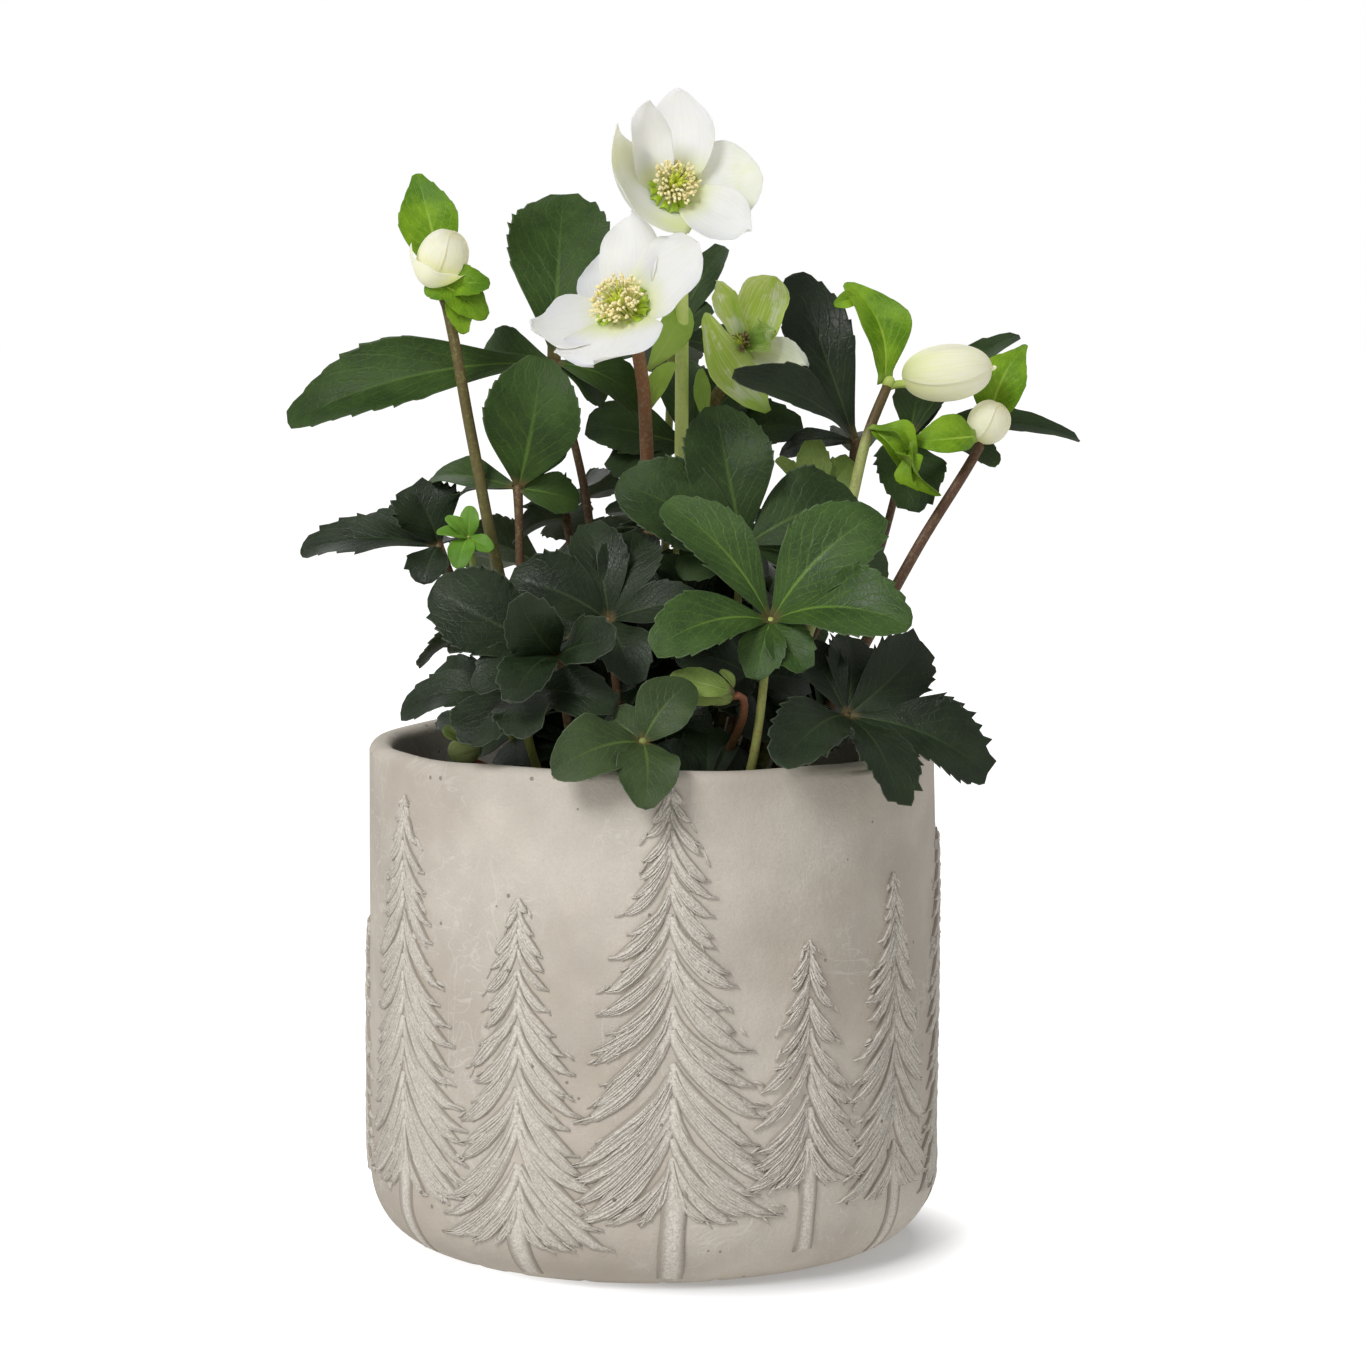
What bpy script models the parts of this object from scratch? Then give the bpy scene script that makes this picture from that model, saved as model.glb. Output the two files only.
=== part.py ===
"""A christmas rose (Helleborus niger) in its grow pot, stood in a round cement cover pot.

Metres, +Z up. The origin is the centre of the cover pot's underside and the front is -Y.
Every leaf, petal, stem, bract and bud is placed by its base, its tip and the way it faces.
"""

import math

import bmesh
import bpy
from mathutils import Matrix, Vector

# Cover pot
POT_RADIUS = 0.085
POT_HEIGHT = 0.150
POT_WALL = 0.0075
POT_FLOOR = 0.009
POT_FOOT_RADIUS = 0.066
POT_FOOT_CURVE = 0.019
POT_RIM_CURVE = 0.0028
POT_STEPS = 40

# Grow pot and soil
GROW_TOP_RADIUS = 0.061
GROW_FOOT_RADIUS = 0.048
GROW_WALL = 0.0012
GROW_LIP = 0.0022
GROW_RIM_Z = 0.122
GROW_STEPS = 28
GAP = 0.0003
SOIL_Z = 0.112
SOIL_MOUND = 0.002

# Thicknesses of what grows
LEAF_THICKNESS = 0.0007
PETAL_THICKNESS = 0.0006
STALK_RADIUS = 0.0015
KNOB_RADIUS = 0.0028
STEM_RADIUS = 0.0021
LEAFLET_BASE = 0.0010
SMALL_LEAFLET = 0.0145
KNOB_FACETS = (6, 4)
BUD_FACETS = (10, 6)
LEAFLET_CELLS = (4, 2)
SMALL_LEAFLET_CELLS = (3, 2)
PETAL_CELLS = (4, 4)
SPROUT_Z = SOIL_Z + SOIL_MOUND + 4 * GAP

# Leaves: joint of the leaflets, the way the leaf faces, stalk foot (x, y), one point on the stalk,
# then one row for each leaflet: tip, width, roll about its midrib in degrees
LEAVES = {
    "leaf_front": (
        (0.034, -0.048, 0.189), (0.05, -0.80, 0.60), (0.017, -0.019), (0.030, -0.040, 0.146),
        (
            ((0.005, -0.046, 0.224), 0.018, 0),
            ((0.065, -0.048, 0.221), 0.022, 0),
            ((0.073, -0.072, 0.191), 0.021, 0),
            ((0.001, -0.070, 0.184), 0.018, 0),
            ((0.030, -0.064, 0.175), 0.012, 0),
            ((0.044, -0.062, 0.177), 0.012, 0),
        ),
    ),
    "leaf_middle": (
        (0.027, -0.026, 0.209), (-0.05, -0.85, 0.50), (0.011, -0.010), (0.022, -0.020, 0.165),
        (
            ((0.019, -0.018, 0.250), 0.024, 0),
            ((-0.009, -0.034, 0.229), 0.025, 0),
            ((0.060, -0.018, 0.224), 0.023, 0),
            ((0.008, -0.036, 0.202), 0.012, 0),
            ((0.071, -0.008, 0.200), 0.018, 20),
        ),
    ),
    "leaf_left_front": (
        (-0.026, -0.060, 0.180), (-0.25, -0.80, 0.55), (-0.012, -0.021), (-0.022, -0.050, 0.150),
        (
            ((-0.062, -0.060, 0.200), 0.022, 0),
            ((-0.037, -0.075, 0.198), 0.015, -15),
            ((-0.049, -0.076, 0.174), 0.013, 0),
            ((-0.038, -0.087, 0.171), 0.014, 0),
            ((-0.010, -0.080, 0.187), 0.014, 0),
        ),
    ),
    "leaf_left_inner": (
        (-0.012, -0.046, 0.189), (0.0, -0.85, 0.50), (-0.003, -0.018), (-0.009, -0.036, 0.160),
        (
            ((-0.040, -0.048, 0.202), 0.019, 0),
            ((-0.018, -0.036, 0.217), 0.015, 0),
            ((-0.001, -0.036, 0.214), 0.016, 0),
            ((-0.004, -0.068, 0.174), 0.014, 0),
            ((0.014, -0.052, 0.196), 0.012, 0),
        ),
    ),
    "leaf_left_low": (
        (-0.038, -0.058, 0.169), (-0.30, -0.70, 0.65), (-0.018, -0.015), (-0.032, -0.046, 0.144),
        (
            ((-0.072, -0.056, 0.165), 0.013, 0),
            ((-0.064, -0.044, 0.173), 0.013, 0),
            ((-0.050, -0.076, 0.157), 0.020, 0),
            ((-0.033, -0.083, 0.161), 0.015, 0),
            ((-0.010, -0.072, 0.168), 0.013, 0),
        ),
    ),
    "leaf_over_rim": (
        (-0.002, -0.076, 0.1575), (0.0, -0.88, 0.48), (0.000, -0.025), (-0.002, -0.056, 0.142),
        (
            ((-0.0265, -0.093, 0.1520), 0.0170, 0),
            ((-0.0010, -0.097, 0.1425), 0.0160, 0),
            ((0.0115, -0.072, 0.1745), 0.015, 0),
            ((-0.0115, -0.068, 0.1650), 0.011, 0),
        ),
    ),
    "leaf_right_low": (
        (0.056, -0.051, 0.162), (0.35, -0.75, 0.55), (0.022, -0.012), (0.044, -0.036, 0.146),
        (
            ((0.079, -0.040, 0.183), 0.017, 0),
            ((0.097, -0.056, 0.147), 0.021, 0),
            ((0.070, -0.081, 0.142), 0.018, 0),
            ((0.032, -0.090, 0.1545), 0.019, 22),
            ((0.058, -0.038, 0.184), 0.015, 0),
            ((0.045, -0.044, 0.182), 0.012, 0),
        ),
    ),
    "leaf_left_tall": (
        (-0.029, -0.002, 0.262), (-0.10, -0.85, 0.52), (-0.009, 0.001), (-0.019, -0.002, 0.218),
        (
            ((-0.108, -0.010, 0.247), 0.021, 0),
            ((-0.052, 0.016, 0.266), 0.013, 0),
            ((-0.026, 0.016, 0.313), 0.029, 0),
            ((-0.001, 0.000, 0.249), 0.013, 0),
            ((-0.013, 0.010, 0.251), 0.012, 0),
        ),
    ),
    "leaf_left_mid": (
        (-0.039, -0.024, 0.226), (-0.10, -0.92, 0.35), (-0.018, -0.008), (-0.037, -0.022, 0.190),
        (
            ((-0.032, -0.030, 0.264), 0.026, 0),
            ((-0.026, -0.016, 0.246), 0.010, 50),
            ((-0.021, -0.020, 0.222), 0.011, 0),
            ((-0.066, -0.004, 0.229), 0.011, 30),
            ((-0.061, 0.004, 0.220), 0.011, 30),
        ),
    ),
    "leaf_left_side": (
        (-0.063, -0.010, 0.208), (-0.20, -0.60, 0.75), (-0.024, 0.000), (-0.052, -0.007, 0.180),
        (
            ((-0.104, -0.012, 0.209), 0.013, 0),
            ((-0.071, -0.012, 0.226), 0.018, 0),
            ((-0.088, 0.004, 0.214), 0.012, 0),
            ((-0.067, -0.020, 0.198), 0.011, 0),
            ((-0.056, 0.012, 0.206), 0.014, 0),
        ),
    ),
    "leaf_right_tall": (
        (0.061, 0.009, 0.238), (-0.10, -0.85, 0.50), (0.018, 0.004), (0.056, 0.009, 0.200),
        (
            ((0.043, 0.017, 0.289), 0.018, 0),
            ((0.026, -0.024, 0.260), 0.014, 25),
            ((0.038, 0.016, 0.235), 0.009, 20),
            ((0.063, 0.042, 0.236), 0.015, 0),
        ),
    ),
    "leaf_right_side": (
        (0.078, 0.024, 0.238), (0.20, -0.60, 0.77), (0.025, 0.008), (0.066, 0.020, 0.196),
        (
            ((0.131, 0.032, 0.2395), 0.0120, 0),
            ((0.1125, 0.044, 0.2715), 0.0100, 0),
            ((0.082, 0.036, 0.255), 0.013, 0),
            ((0.1045, 0.012, 0.2325), 0.016, 0),
            ((0.0770, 0.004, 0.2185), 0.019, 0),
        ),
    ),
    "leaf_inner_right": (
        (0.012, 0.026, 0.236), (0.0, -0.80, 0.60), (0.006, 0.012), (0.010, 0.022, 0.190),
        (
            ((-0.020, 0.024, 0.243), 0.016, 0),
            ((0.009, 0.038, 0.262), 0.015, 0),
            ((0.032, 0.032, 0.258), 0.017, 0),
            ((0.045, 0.020, 0.244), 0.015, 0),
            ((-0.013, 0.018, 0.229), 0.014, 0),
        ),
    ),
    "leaf_inner_tall": (
        (0.006, 0.044, 0.268), (0.0, -0.70, 0.70), (0.003, 0.021), (0.004, 0.036, 0.210),
        (
            ((0.0212, 0.050, 0.2975), 0.0115, 0),
            ((0.0176, 0.040, 0.2795), 0.0110, 0),
            ((-0.020, 0.062, 0.262), 0.018, 0),
            ((0.034, 0.070, 0.256), 0.018, 0),
            ((0.006, 0.078, 0.256), 0.020, 0),
        ),
    ),
    "leaf_back_left": (
        (-0.034, 0.048, 0.198), (-0.20, 0.60, 0.78), (-0.012, 0.018), (-0.026, 0.038, 0.164),
        (
            ((-0.060, 0.030, 0.208), 0.018, 0),
            ((-0.056, 0.072, 0.196), 0.020, 0),
            ((-0.026, 0.084, 0.192), 0.022, 0),
            ((-0.006, 0.064, 0.206), 0.018, 0),
            ((-0.034, 0.060, 0.170), 0.014, 0),
        ),
    ),
    "leaf_back_right": (
        (0.044, 0.044, 0.192), (0.20, 0.60, 0.78), (0.016, 0.018), (0.034, 0.036, 0.160),
        (
            ((0.020, 0.070, 0.204), 0.018, 0),
            ((0.046, 0.084, 0.186), 0.022, 0),
            ((0.070, 0.064, 0.186), 0.020, 0),
            ((0.066, 0.030, 0.200), 0.017, 0),
            ((0.048, 0.056, 0.166), 0.014, 0),
        ),
    ),
    "leaf_back_middle": (
        (0.010, 0.056, 0.207), (0.0, 0.50, 0.85), (0.006, 0.024), (0.009, 0.046, 0.166),
        (
            ((-0.014, 0.062, 0.215), 0.017, 0),
            ((-0.006, 0.086, 0.208), 0.019, 0),
            ((0.020, 0.090, 0.204), 0.019, 0),
            ((0.034, 0.066, 0.213), 0.017, 0),
        ),
    ),
    "leaf_back_side_left": (
        (-0.044, 0.020, 0.180), (-0.30, 0.20, 0.93), (-0.020, 0.010), (-0.036, 0.017, 0.152),
        (
            ((-0.056, 0.000, 0.184), 0.015, 0),
            ((-0.072, 0.024, 0.170), 0.018, 0),
            ((-0.060, 0.042, 0.172), 0.017, 0),
            ((-0.040, 0.044, 0.182), 0.014, 0),
        ),
    ),
    "leaf_back_side_right": (
        (0.047, 0.028, 0.163), (0.30, 0.20, 0.93), (0.024, 0.015), (0.040, 0.024, 0.143),
        (
            ((0.074, 0.022, 0.156), 0.014, 0),
            ((0.078, 0.038, 0.160), 0.016, 0),
            ((0.068, 0.050, 0.159), 0.017, 0),
            ((0.044, 0.052, 0.164), 0.014, 0),
        ),
    ),
    "leaf_back_low": (
        (0.006, 0.070, 0.163), (0.0, 0.70, 0.70), (0.003, 0.030), (0.005, 0.056, 0.140),
        (
            ((-0.028, 0.080, 0.168), 0.018, 0),
            ((-0.014, 0.104, 0.150), 0.020, 0),
            ((0.022, 0.104, 0.150), 0.020, 0),
            ((0.036, 0.080, 0.168), 0.018, 0),
        ),
    ),
    "young_leaf_left": (
        (-0.053, -0.033, 0.212), (-0.10, -0.80, 0.60), (-0.029, -0.012), (-0.047, -0.030, 0.176),
        (
            ((-0.061, -0.036, 0.219), 0.005, 0),
            ((-0.053, -0.033, 0.222), 0.006, 0),
            ((-0.063, -0.038, 0.213), 0.005, 0),
            ((-0.045, -0.040, 0.208), 0.007, 0),
            ((-0.057, -0.042, 0.203), 0.009, 0),
        ),
    ),
    "young_leaf_right": (
        (0.049, 0.002, 0.220), (0.0, -0.95, 0.30), (0.015, -0.003), (0.044, 0.001, 0.190),
        (
            ((0.038, 0.001, 0.234), 0.005, 30),
            ((0.048, 0.003, 0.239), 0.009, 0),
            ((0.060, 0.003, 0.233), 0.010, 0),
        ),
    ),
}

# Flowers: centre, the way it faces, radius of the stamens, stem foot (x, y), points on the stem,
# then one row for each petal: tip, width, cup depth, how far forward it lies among the others
FLOWERS = {
    "flower_top": (
        (0.007, -0.014, 0.3148), (-0.15, -0.86, 0.48), 0.0065, (0.004, 0.002),
        ((0.008, 0.006, 0.190), (0.009, 0.006, 0.270)),
        (
            ((0.0080, -0.004, 0.3430), 0.022, 0.004, -0.0012),
            ((-0.0015, -0.020, 0.3388), 0.0130, 0.004, 0.0006),
            ((-0.0090, -0.030, 0.3280), 0.023, 0.006, 0.0028),
            ((0.0295, -0.024, 0.2995), 0.016, 0.003, 0.0012),
            ((0.0325, -0.012, 0.3175), 0.026, 0.004, -0.0020),
        ),
    ),
    "flower_lower": (
        (-0.009, -0.030, 0.280), (-0.40, -0.72, 0.57), 0.0072, (-0.003, -0.006),
        ((-0.001, -0.004, 0.190), (-0.002, -0.010, 0.250)),
        (
            ((-0.0354, -0.032, 0.2725), 0.020, 0.004, -0.0014),
            ((-0.0150, -0.049, 0.2620), 0.028, 0.0030, 0.0038),
            ((0.0152, -0.034, 0.2965), 0.0255, 0.003, 0.0016),
            ((-0.0068, -0.016, 0.3070), 0.0155, 0.003, -0.0014),
            ((-0.0140, -0.011, 0.2990), 0.026, 0.004, -0.0036),
        ),
    ),
    "flower_aged": (
        (0.027, 0.002, 0.268), (-0.50, -0.75, 0.40), 0.0030, (0.010, 0.004),
        ((0.014, 0.010, 0.200), (0.017, 0.014, 0.246)),
        (
            ((0.0197, 0.006, 0.2865), 0.0075, 0.003, -0.0004),
            ((0.0362, 0.001, 0.2882), 0.0175, 0.003, -0.0016),
            ((0.0153, -0.006, 0.2765), 0.013, 0.003, 0.0009),
            ((0.023, -0.010, 0.254), 0.014, 0.003, 0.0021),
            ((0.046, -0.006, 0.261), 0.010, 0.003, 0.0003),
        ),
    ),
}

# Buds: centre, long axis, length, diameter, stem foot (x, y), points on the stem, stem top,
# then one row for each bract: base, tip, the way it faces, width
BUDS = {
    "bud_left": (
        (-0.0608, -0.020, 0.2930), (0.45, -0.3, 0.85), 0.0172, 0.0146, (-0.022, -0.014),
        ((-0.0445, -0.022, 0.200), (-0.0525, -0.025, 0.242)), (-0.0600, -0.0205, 0.2822),
        (
            ((-0.0622, -0.0090, 0.2870), (-0.0692, -0.007, 0.3178), (-0.1, -0.95, 0.2), 0.0168),
            ((-0.0572, -0.0225, 0.2825), (-0.0480, -0.0255, 0.2752), (0.1, -0.85, 0.5), 0.0120),
        ),
    ),
    "bud_right": (
        (0.088, 0.002, 0.259), (1.0, 0.0, 0.1), 0.0268, 0.0170, (0.022, -0.004),
        ((0.058, -0.004, 0.216), (0.0640, -0.002, 0.2400)), (0.0715, 0.001, 0.2555),
        (
            ((0.0705, 0.0030, 0.2585), (0.0598, 0.004, 0.287), (0.45, -0.85, 0.1), 0.0135),
            ((0.0680, -0.0055, 0.2420), (0.0800, -0.011, 0.2310), (0.2, -0.7, 0.6), 0.010),
        ),
    ),
    "bud_far_right": (
        (0.101, 0.008, 0.244), (0.5, -0.3, 0.7), 0.0132, 0.0125, (0.026, 0.001),
        ((0.060, -0.004, 0.172), (0.080, 0.000, 0.208)), (0.098, 0.007, 0.2365),
        (
            ((0.1045, 0.0155, 0.2440), (0.1115, 0.016, 0.268), (-0.2, -0.9, 0.2), 0.015),
            ((0.0955, 0.0030, 0.2400), (0.0775, -0.002, 0.2390), (0.0, -0.8, 0.5), 0.012),
        ),
    ),
}

# Low buds: centre, long axis, length, diameter, stem foot (x, y), points on the stem
LOW_BUDS = {
    "low_bud_left": (
        (-0.054, -0.040, 0.151), (0.8, -0.1, 0.2), 0.010, 0.008, (-0.026, -0.018),
        ((-0.036, -0.026, 0.128), (-0.045, -0.034, 0.143)),
    ),
    "low_bud_middle": (
        (0.016, -0.060, 0.1705), (-1.0, -0.15, 0.35), 0.017, 0.0085, (0.010, -0.025),
        ((0.023, -0.046, 0.146), (0.0290, -0.055, 0.162), (0.0275, -0.0580, 0.1685)),
    ),
}

# Colours: linear base colour and roughness
FINISHES = {
    "cement": ((0.60, 0.54, 0.46), 0.85),
    "grow_pot_plastic": ((0.02, 0.02, 0.02), 0.50),
    "potting_soil": ((0.03, 0.02, 0.012), 0.95),
    "leaf_dark": ((0.03, 0.08, 0.03), 0.40),
    "leaf_young": ((0.25, 0.45, 0.06), 0.45),
    "stem": ((0.30, 0.35, 0.10), 0.50),
    "petal_white": ((0.85, 0.84, 0.76), 0.55),
    "petal_aged": ((0.35, 0.50, 0.12), 0.55),
    "stamen": ((0.80, 0.70, 0.30), 0.70),
}


def clear_scene():
    for item in list(bpy.data.objects):
        bpy.data.objects.remove(item, do_unlink=True)


def new_collection(name):
    collection = bpy.data.collections.new(name)
    bpy.context.scene.collection.children.link(collection)
    return collection


def new_material(name, colour, roughness):
    material = bpy.data.materials.new(name)
    material.use_nodes = True
    shader = material.node_tree.nodes["Principled BSDF"]
    shader.inputs["Base Color"].default_value = (*colour, 1.0)
    shader.inputs["Roughness"].default_value = roughness
    return material


def add_object(name, mesh, collection, material=None):
    item = bpy.data.objects.new(name, mesh)
    collection.objects.link(item)
    if material:
        mesh.materials.append(material)
    return item


def arc(centre, radius_x, radius_z, start, end, count):
    """Points (radius, z) along part of an ellipse, angles in degrees."""
    points = []
    for step in range(count + 1):
        angle = math.radians(start + (end - start) * step / count)
        points.append((centre[0] + radius_x * math.cos(angle), centre[1] + radius_z * math.sin(angle)))
    return points


def turned(name, profile, steps, material):
    """A profile of (radius, z) points, turned once about Z by a Screw modifier."""
    mesh = bpy.data.meshes.new(name)
    mesh.from_pydata([(radius, 0.0, z) for radius, z in profile], [(i, i + 1) for i in range(len(profile) - 1)], [])
    item = add_object(name, mesh, parts, material)
    screw = item.modifiers.new("Turn", "SCREW")
    screw.steps = steps
    screw.render_steps = steps
    screw.use_merge_vertices = True
    screw.merge_threshold = 0.00005
    return item


def cover_pot():
    """Cement pot: flat foot, rounded lower edge, straight wall, softened rim, hollow inside."""
    inner = POT_RADIUS - POT_WALL
    rim_z = POT_HEIGHT - POT_RIM_CURVE
    foot_curve = POT_RADIUS - POT_FOOT_RADIUS
    profile = [(0.0, POT_FLOOR)]
    profile += arc((inner - foot_curve, POT_FLOOR + POT_FOOT_CURVE), foot_curve, POT_FOOT_CURVE, -90, 0, 4)
    profile += arc((inner + POT_RIM_CURVE, rim_z), POT_RIM_CURVE, POT_RIM_CURVE, 180, 90, 2)
    profile += arc((POT_RADIUS - POT_RIM_CURVE, rim_z), POT_RIM_CURVE, POT_RIM_CURVE, 90, 0, 2)
    profile += arc((POT_FOOT_RADIUS, POT_FOOT_CURVE), foot_curve, POT_FOOT_CURVE, 0, -90, 5)
    profile.append((0.0, 0.0))
    return turned("cement_pot", profile, POT_STEPS, materials["cement"])


def grow_pot():
    """Thin plastic nursery pot with a rolled lip, standing on the floor of the cover pot."""
    foot = POT_FLOOR + GAP
    inner_top = GROW_TOP_RADIUS - GROW_WALL
    inner_foot = GROW_FOOT_RADIUS - GROW_WALL
    profile = [
        (0.0, foot + GROW_WALL),
        (inner_foot, foot + GROW_WALL),
        (inner_top, GROW_RIM_Z),
        (GROW_TOP_RADIUS + GROW_LIP, GROW_RIM_Z),
        (GROW_TOP_RADIUS + GROW_LIP, GROW_RIM_Z - 0.006),
        (GROW_TOP_RADIUS, GROW_RIM_Z - 0.006),
        (GROW_FOOT_RADIUS, foot),
        (0.0, foot),
    ]
    return turned("grow_pot", profile, GROW_STEPS, materials["grow_pot_plastic"])


def soil():
    """Potting soil filling the grow pot, a little mounded round the plant."""
    floor = POT_FLOOR + GAP + GROW_WALL + GAP
    slope = (GROW_TOP_RADIUS - GROW_FOOT_RADIUS) / (GROW_RIM_Z - POT_FLOOR)
    foot_radius = GROW_FOOT_RADIUS - GROW_WALL - 2 * GAP
    profile = [
        (0.0, SOIL_Z + SOIL_MOUND),
        (0.028, SOIL_Z + SOIL_MOUND),
        (foot_radius + slope * (SOIL_Z - floor), SOIL_Z),
        (foot_radius, floor),
        (0.0, floor),
    ]
    return turned("soil", profile, GROW_STEPS, materials["potting_soil"])


def tube(name, points, radius, end_radius, collection, material=None):
    """A round stalk through a few points, made as a bevelled curve and turned into a closed mesh."""
    curve = bpy.data.curves.new(name, "CURVE")
    curve.dimensions = "3D"
    curve.resolution_u = 2
    curve.bevel_depth = 1.0
    curve.bevel_resolution = 1
    curve.use_fill_caps = True
    spline = curve.splines.new("BEZIER")
    spline.bezier_points.add(len(points) - 1)
    for index, (knot, point) in enumerate(zip(spline.bezier_points, points)):
        knot.co = point
        knot.radius = radius + (end_radius - radius) * index / (len(points) - 1)
        knot.handle_left_type = "AUTO"
        knot.handle_right_type = "AUTO"
    guide = bpy.data.objects.new(name + "_guide", curve)
    collection.objects.link(guide)
    bpy.context.view_layer.update()
    graph = bpy.context.evaluated_depsgraph_get()
    mesh = bpy.data.meshes.new_from_object(guide.evaluated_get(graph))
    build = bmesh.new()
    build.from_mesh(mesh)
    bmesh.ops.remove_doubles(build, verts=build.verts, dist=0.000001)
    build.to_mesh(mesh)
    build.free()
    bpy.data.objects.remove(guide, do_unlink=True)
    mesh.name = name
    mesh.materials.clear()
    return add_object(name, mesh, collection, material)


def aim(base, tip, facing, roll):
    """A frame at base: X points to the tip, Z the way the blade faces, rolled about X."""
    along = (Vector(tip) - Vector(base)).normalized()
    across = Vector(facing).cross(along).normalized()
    normal = along.cross(across)
    turn = Matrix.Rotation(math.radians(roll), 3, along)
    across = turn @ across
    normal = turn @ normal
    frame = Matrix((along, across, normal)).transposed().to_4x4()
    frame.translation = Vector(base)
    return frame


def leaf_outline(along):
    """Half width of a leaflet as a share of its greatest, from base to tip."""
    return max(0.0, math.sin(math.pi * along**1.5)) ** 0.8


def petal_outline(along):
    """Half width of a petal as a share of its greatest: a broad oval on a narrow claw."""
    return max(0.0, math.sin(math.pi * (0.10 + 0.90 * along) ** 1.15)) ** 0.6


def blade(name, base, tip, facing, roll, width, outline, shape, thickness, cells, collection, material=None):
    """A grid bent into a leaflet or petal and thickened: shape is (arch, cup) in metres."""
    length = (Vector(tip) - Vector(base)).length
    arch, cup = shape
    build = bmesh.new()
    bmesh.ops.create_grid(build, x_segments=cells[0], y_segments=cells[1], size=1.0)
    for vertex in build.verts:
        along = (vertex.co.x + 1) / 2
        side = vertex.co.y
        half = max(width / 2 * outline(along), LEAFLET_BASE if along < 0.5 else LEAFLET_BASE / 2)
        rise = arch * 4 * along * (1 - along) + cup * (side * half * 2 / width) ** 2
        vertex.co = (length * along, side * half, rise)
    mesh = bpy.data.meshes.new(name)
    build.to_mesh(mesh)
    build.free()
    item = add_object(name, mesh, collection, material)
    item.matrix_world = aim(base, tip, facing, roll)
    solid = item.modifiers.new("Thickness", "SOLIDIFY")
    solid.thickness = thickness
    solid.offset = 0.0
    return item


def hide_helper(item):
    item.hide_render = True
    item.display_type = "WIRE"


def join_to(item, helper):
    """Unites a hidden helper with the object that shows. EXACT loses blades this thin, MANIFOLD keeps them."""
    union = item.modifiers.new("Join", "BOOLEAN")
    union.operation = "UNION"
    union.solver = "MANIFOLD"
    union.object = helper
    hide_helper(helper)


def ellipsoid(name, centre, axis, length, diameter, facets, collection, material=None):
    """A bud or knob: a coarse sphere stretched along its axis."""
    build = bmesh.new()
    bmesh.ops.create_uvsphere(build, u_segments=facets[0], v_segments=facets[1], radius=0.5)
    stretch = Matrix.Diagonal((diameter, diameter, length, 1.0))
    turn = Vector((0, 0, 1)).rotation_difference(Vector(axis)).to_matrix().to_4x4()
    bmesh.ops.transform(build, matrix=Matrix.Translation(centre) @ turn @ stretch, verts=build.verts)
    mesh = bpy.data.meshes.new(name)
    build.to_mesh(mesh)
    build.free()
    return add_object(name, mesh, collection, material)


def compound_leaf(name, joint, facing, foot, bend, leaflets):
    """One leaf: a stalk, the knob where the leaflets meet, and the leaflets, grown as one piece."""
    young = name.startswith("young")
    colour = materials["leaf_young" if young else "leaf_dark"]
    scale = 0.6 if young else 1.0
    points = [(foot[0], foot[1], SPROUT_Z), bend, joint]
    leaf = tube(name, points, STALK_RADIUS, STALK_RADIUS * 0.8 * scale, parts, colour)
    knob_size = KNOB_RADIUS * 2 * scale
    knob = ellipsoid(name + "_knob", joint, facing, knob_size, knob_size, KNOB_FACETS, helpers)
    join_to(leaf, knob)
    for number, (tip, width, roll) in enumerate(leaflets):
        arch = (Vector(tip) - Vector(joint)).length * 0.10
        cells = LEAFLET_CELLS if width > SMALL_LEAFLET else SMALL_LEAFLET_CELLS
        helper = blade(
            f"{name}_leaflet_{number}", joint, tip, facing, roll, width, leaf_outline,
            (arch, width * 0.10), LEAF_THICKNESS, cells, helpers,
        )
        join_to(leaf, helper)
    return leaf


def flower(name, centre, facing, stamen_radius, foot, bends, petals):
    """Stem, middle and five petals, each a piece of its own."""
    aged = name.endswith("aged")
    axis = Vector(facing).normalized()
    heart = Vector(centre)
    back = heart - axis * (stamen_radius * 0.75 + 0.0012)
    points = [(foot[0], foot[1], SPROUT_Z), *bends, tuple(back - axis * 0.0012)]
    tube(name + "_stem", points, STEM_RADIUS, STEM_RADIUS * 0.9, parts, materials["stem"])
    ellipsoid(
        name + "_centre", centre, facing, stamen_radius * 1.5, stamen_radius * 2, BUD_FACETS, parts,
        materials["stamen"],
    )
    for number, (tip, width, cup, forward) in enumerate(petals):
        outward = Vector(tip) - heart
        outward = (outward - axis * outward.dot(axis)).normalized()
        layer = axis * forward
        base = heart - axis * (stamen_radius * 0.60) + outward * (stamen_radius + GAP) + layer
        blade(
            f"{name}_petal_{number + 1}", base, Vector(tip) + layer, facing, 0, width, petal_outline,
            (-cup * 0.5, cup), PETAL_THICKNESS, PETAL_CELLS, parts,
            materials["petal_aged" if aged else "petal_white"],
        )


def budding_stem(name, centre, axis, length, diameter, foot, bends, top, bracts):
    """A flower stem with a closed bud and the bracts below it."""
    tube(name + "_stem", [(foot[0], foot[1], SPROUT_Z), *bends, top], STEM_RADIUS * 0.9, STEM_RADIUS * 0.7,
         parts, materials["stem"])
    ellipsoid(name, centre, axis, length, diameter, BUD_FACETS, parts, materials["petal_white"])
    for number, (base, tip, facing, width) in enumerate(bracts):
        arch = (Vector(tip) - Vector(base)).length * 0.08
        blade(
            f"{name}_bract_{number + 1}", base, tip, facing, 0, width, leaf_outline,
            (arch, width * 0.1), LEAF_THICKNESS, LEAFLET_CELLS, parts, materials["leaf_young"],
        )


def low_bud(name, centre, axis, length, diameter, foot, bends):
    """A bud still down among the leaves, on its own short stem."""
    points = [(foot[0], foot[1], SPROUT_Z), *bends, centre]
    stem = tube(name, points, STALK_RADIUS, STALK_RADIUS * 0.7, parts, materials["leaf_young"])
    join_to(stem, ellipsoid(name + "_head", centre, axis, length, diameter, BUD_FACETS, helpers))


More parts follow.
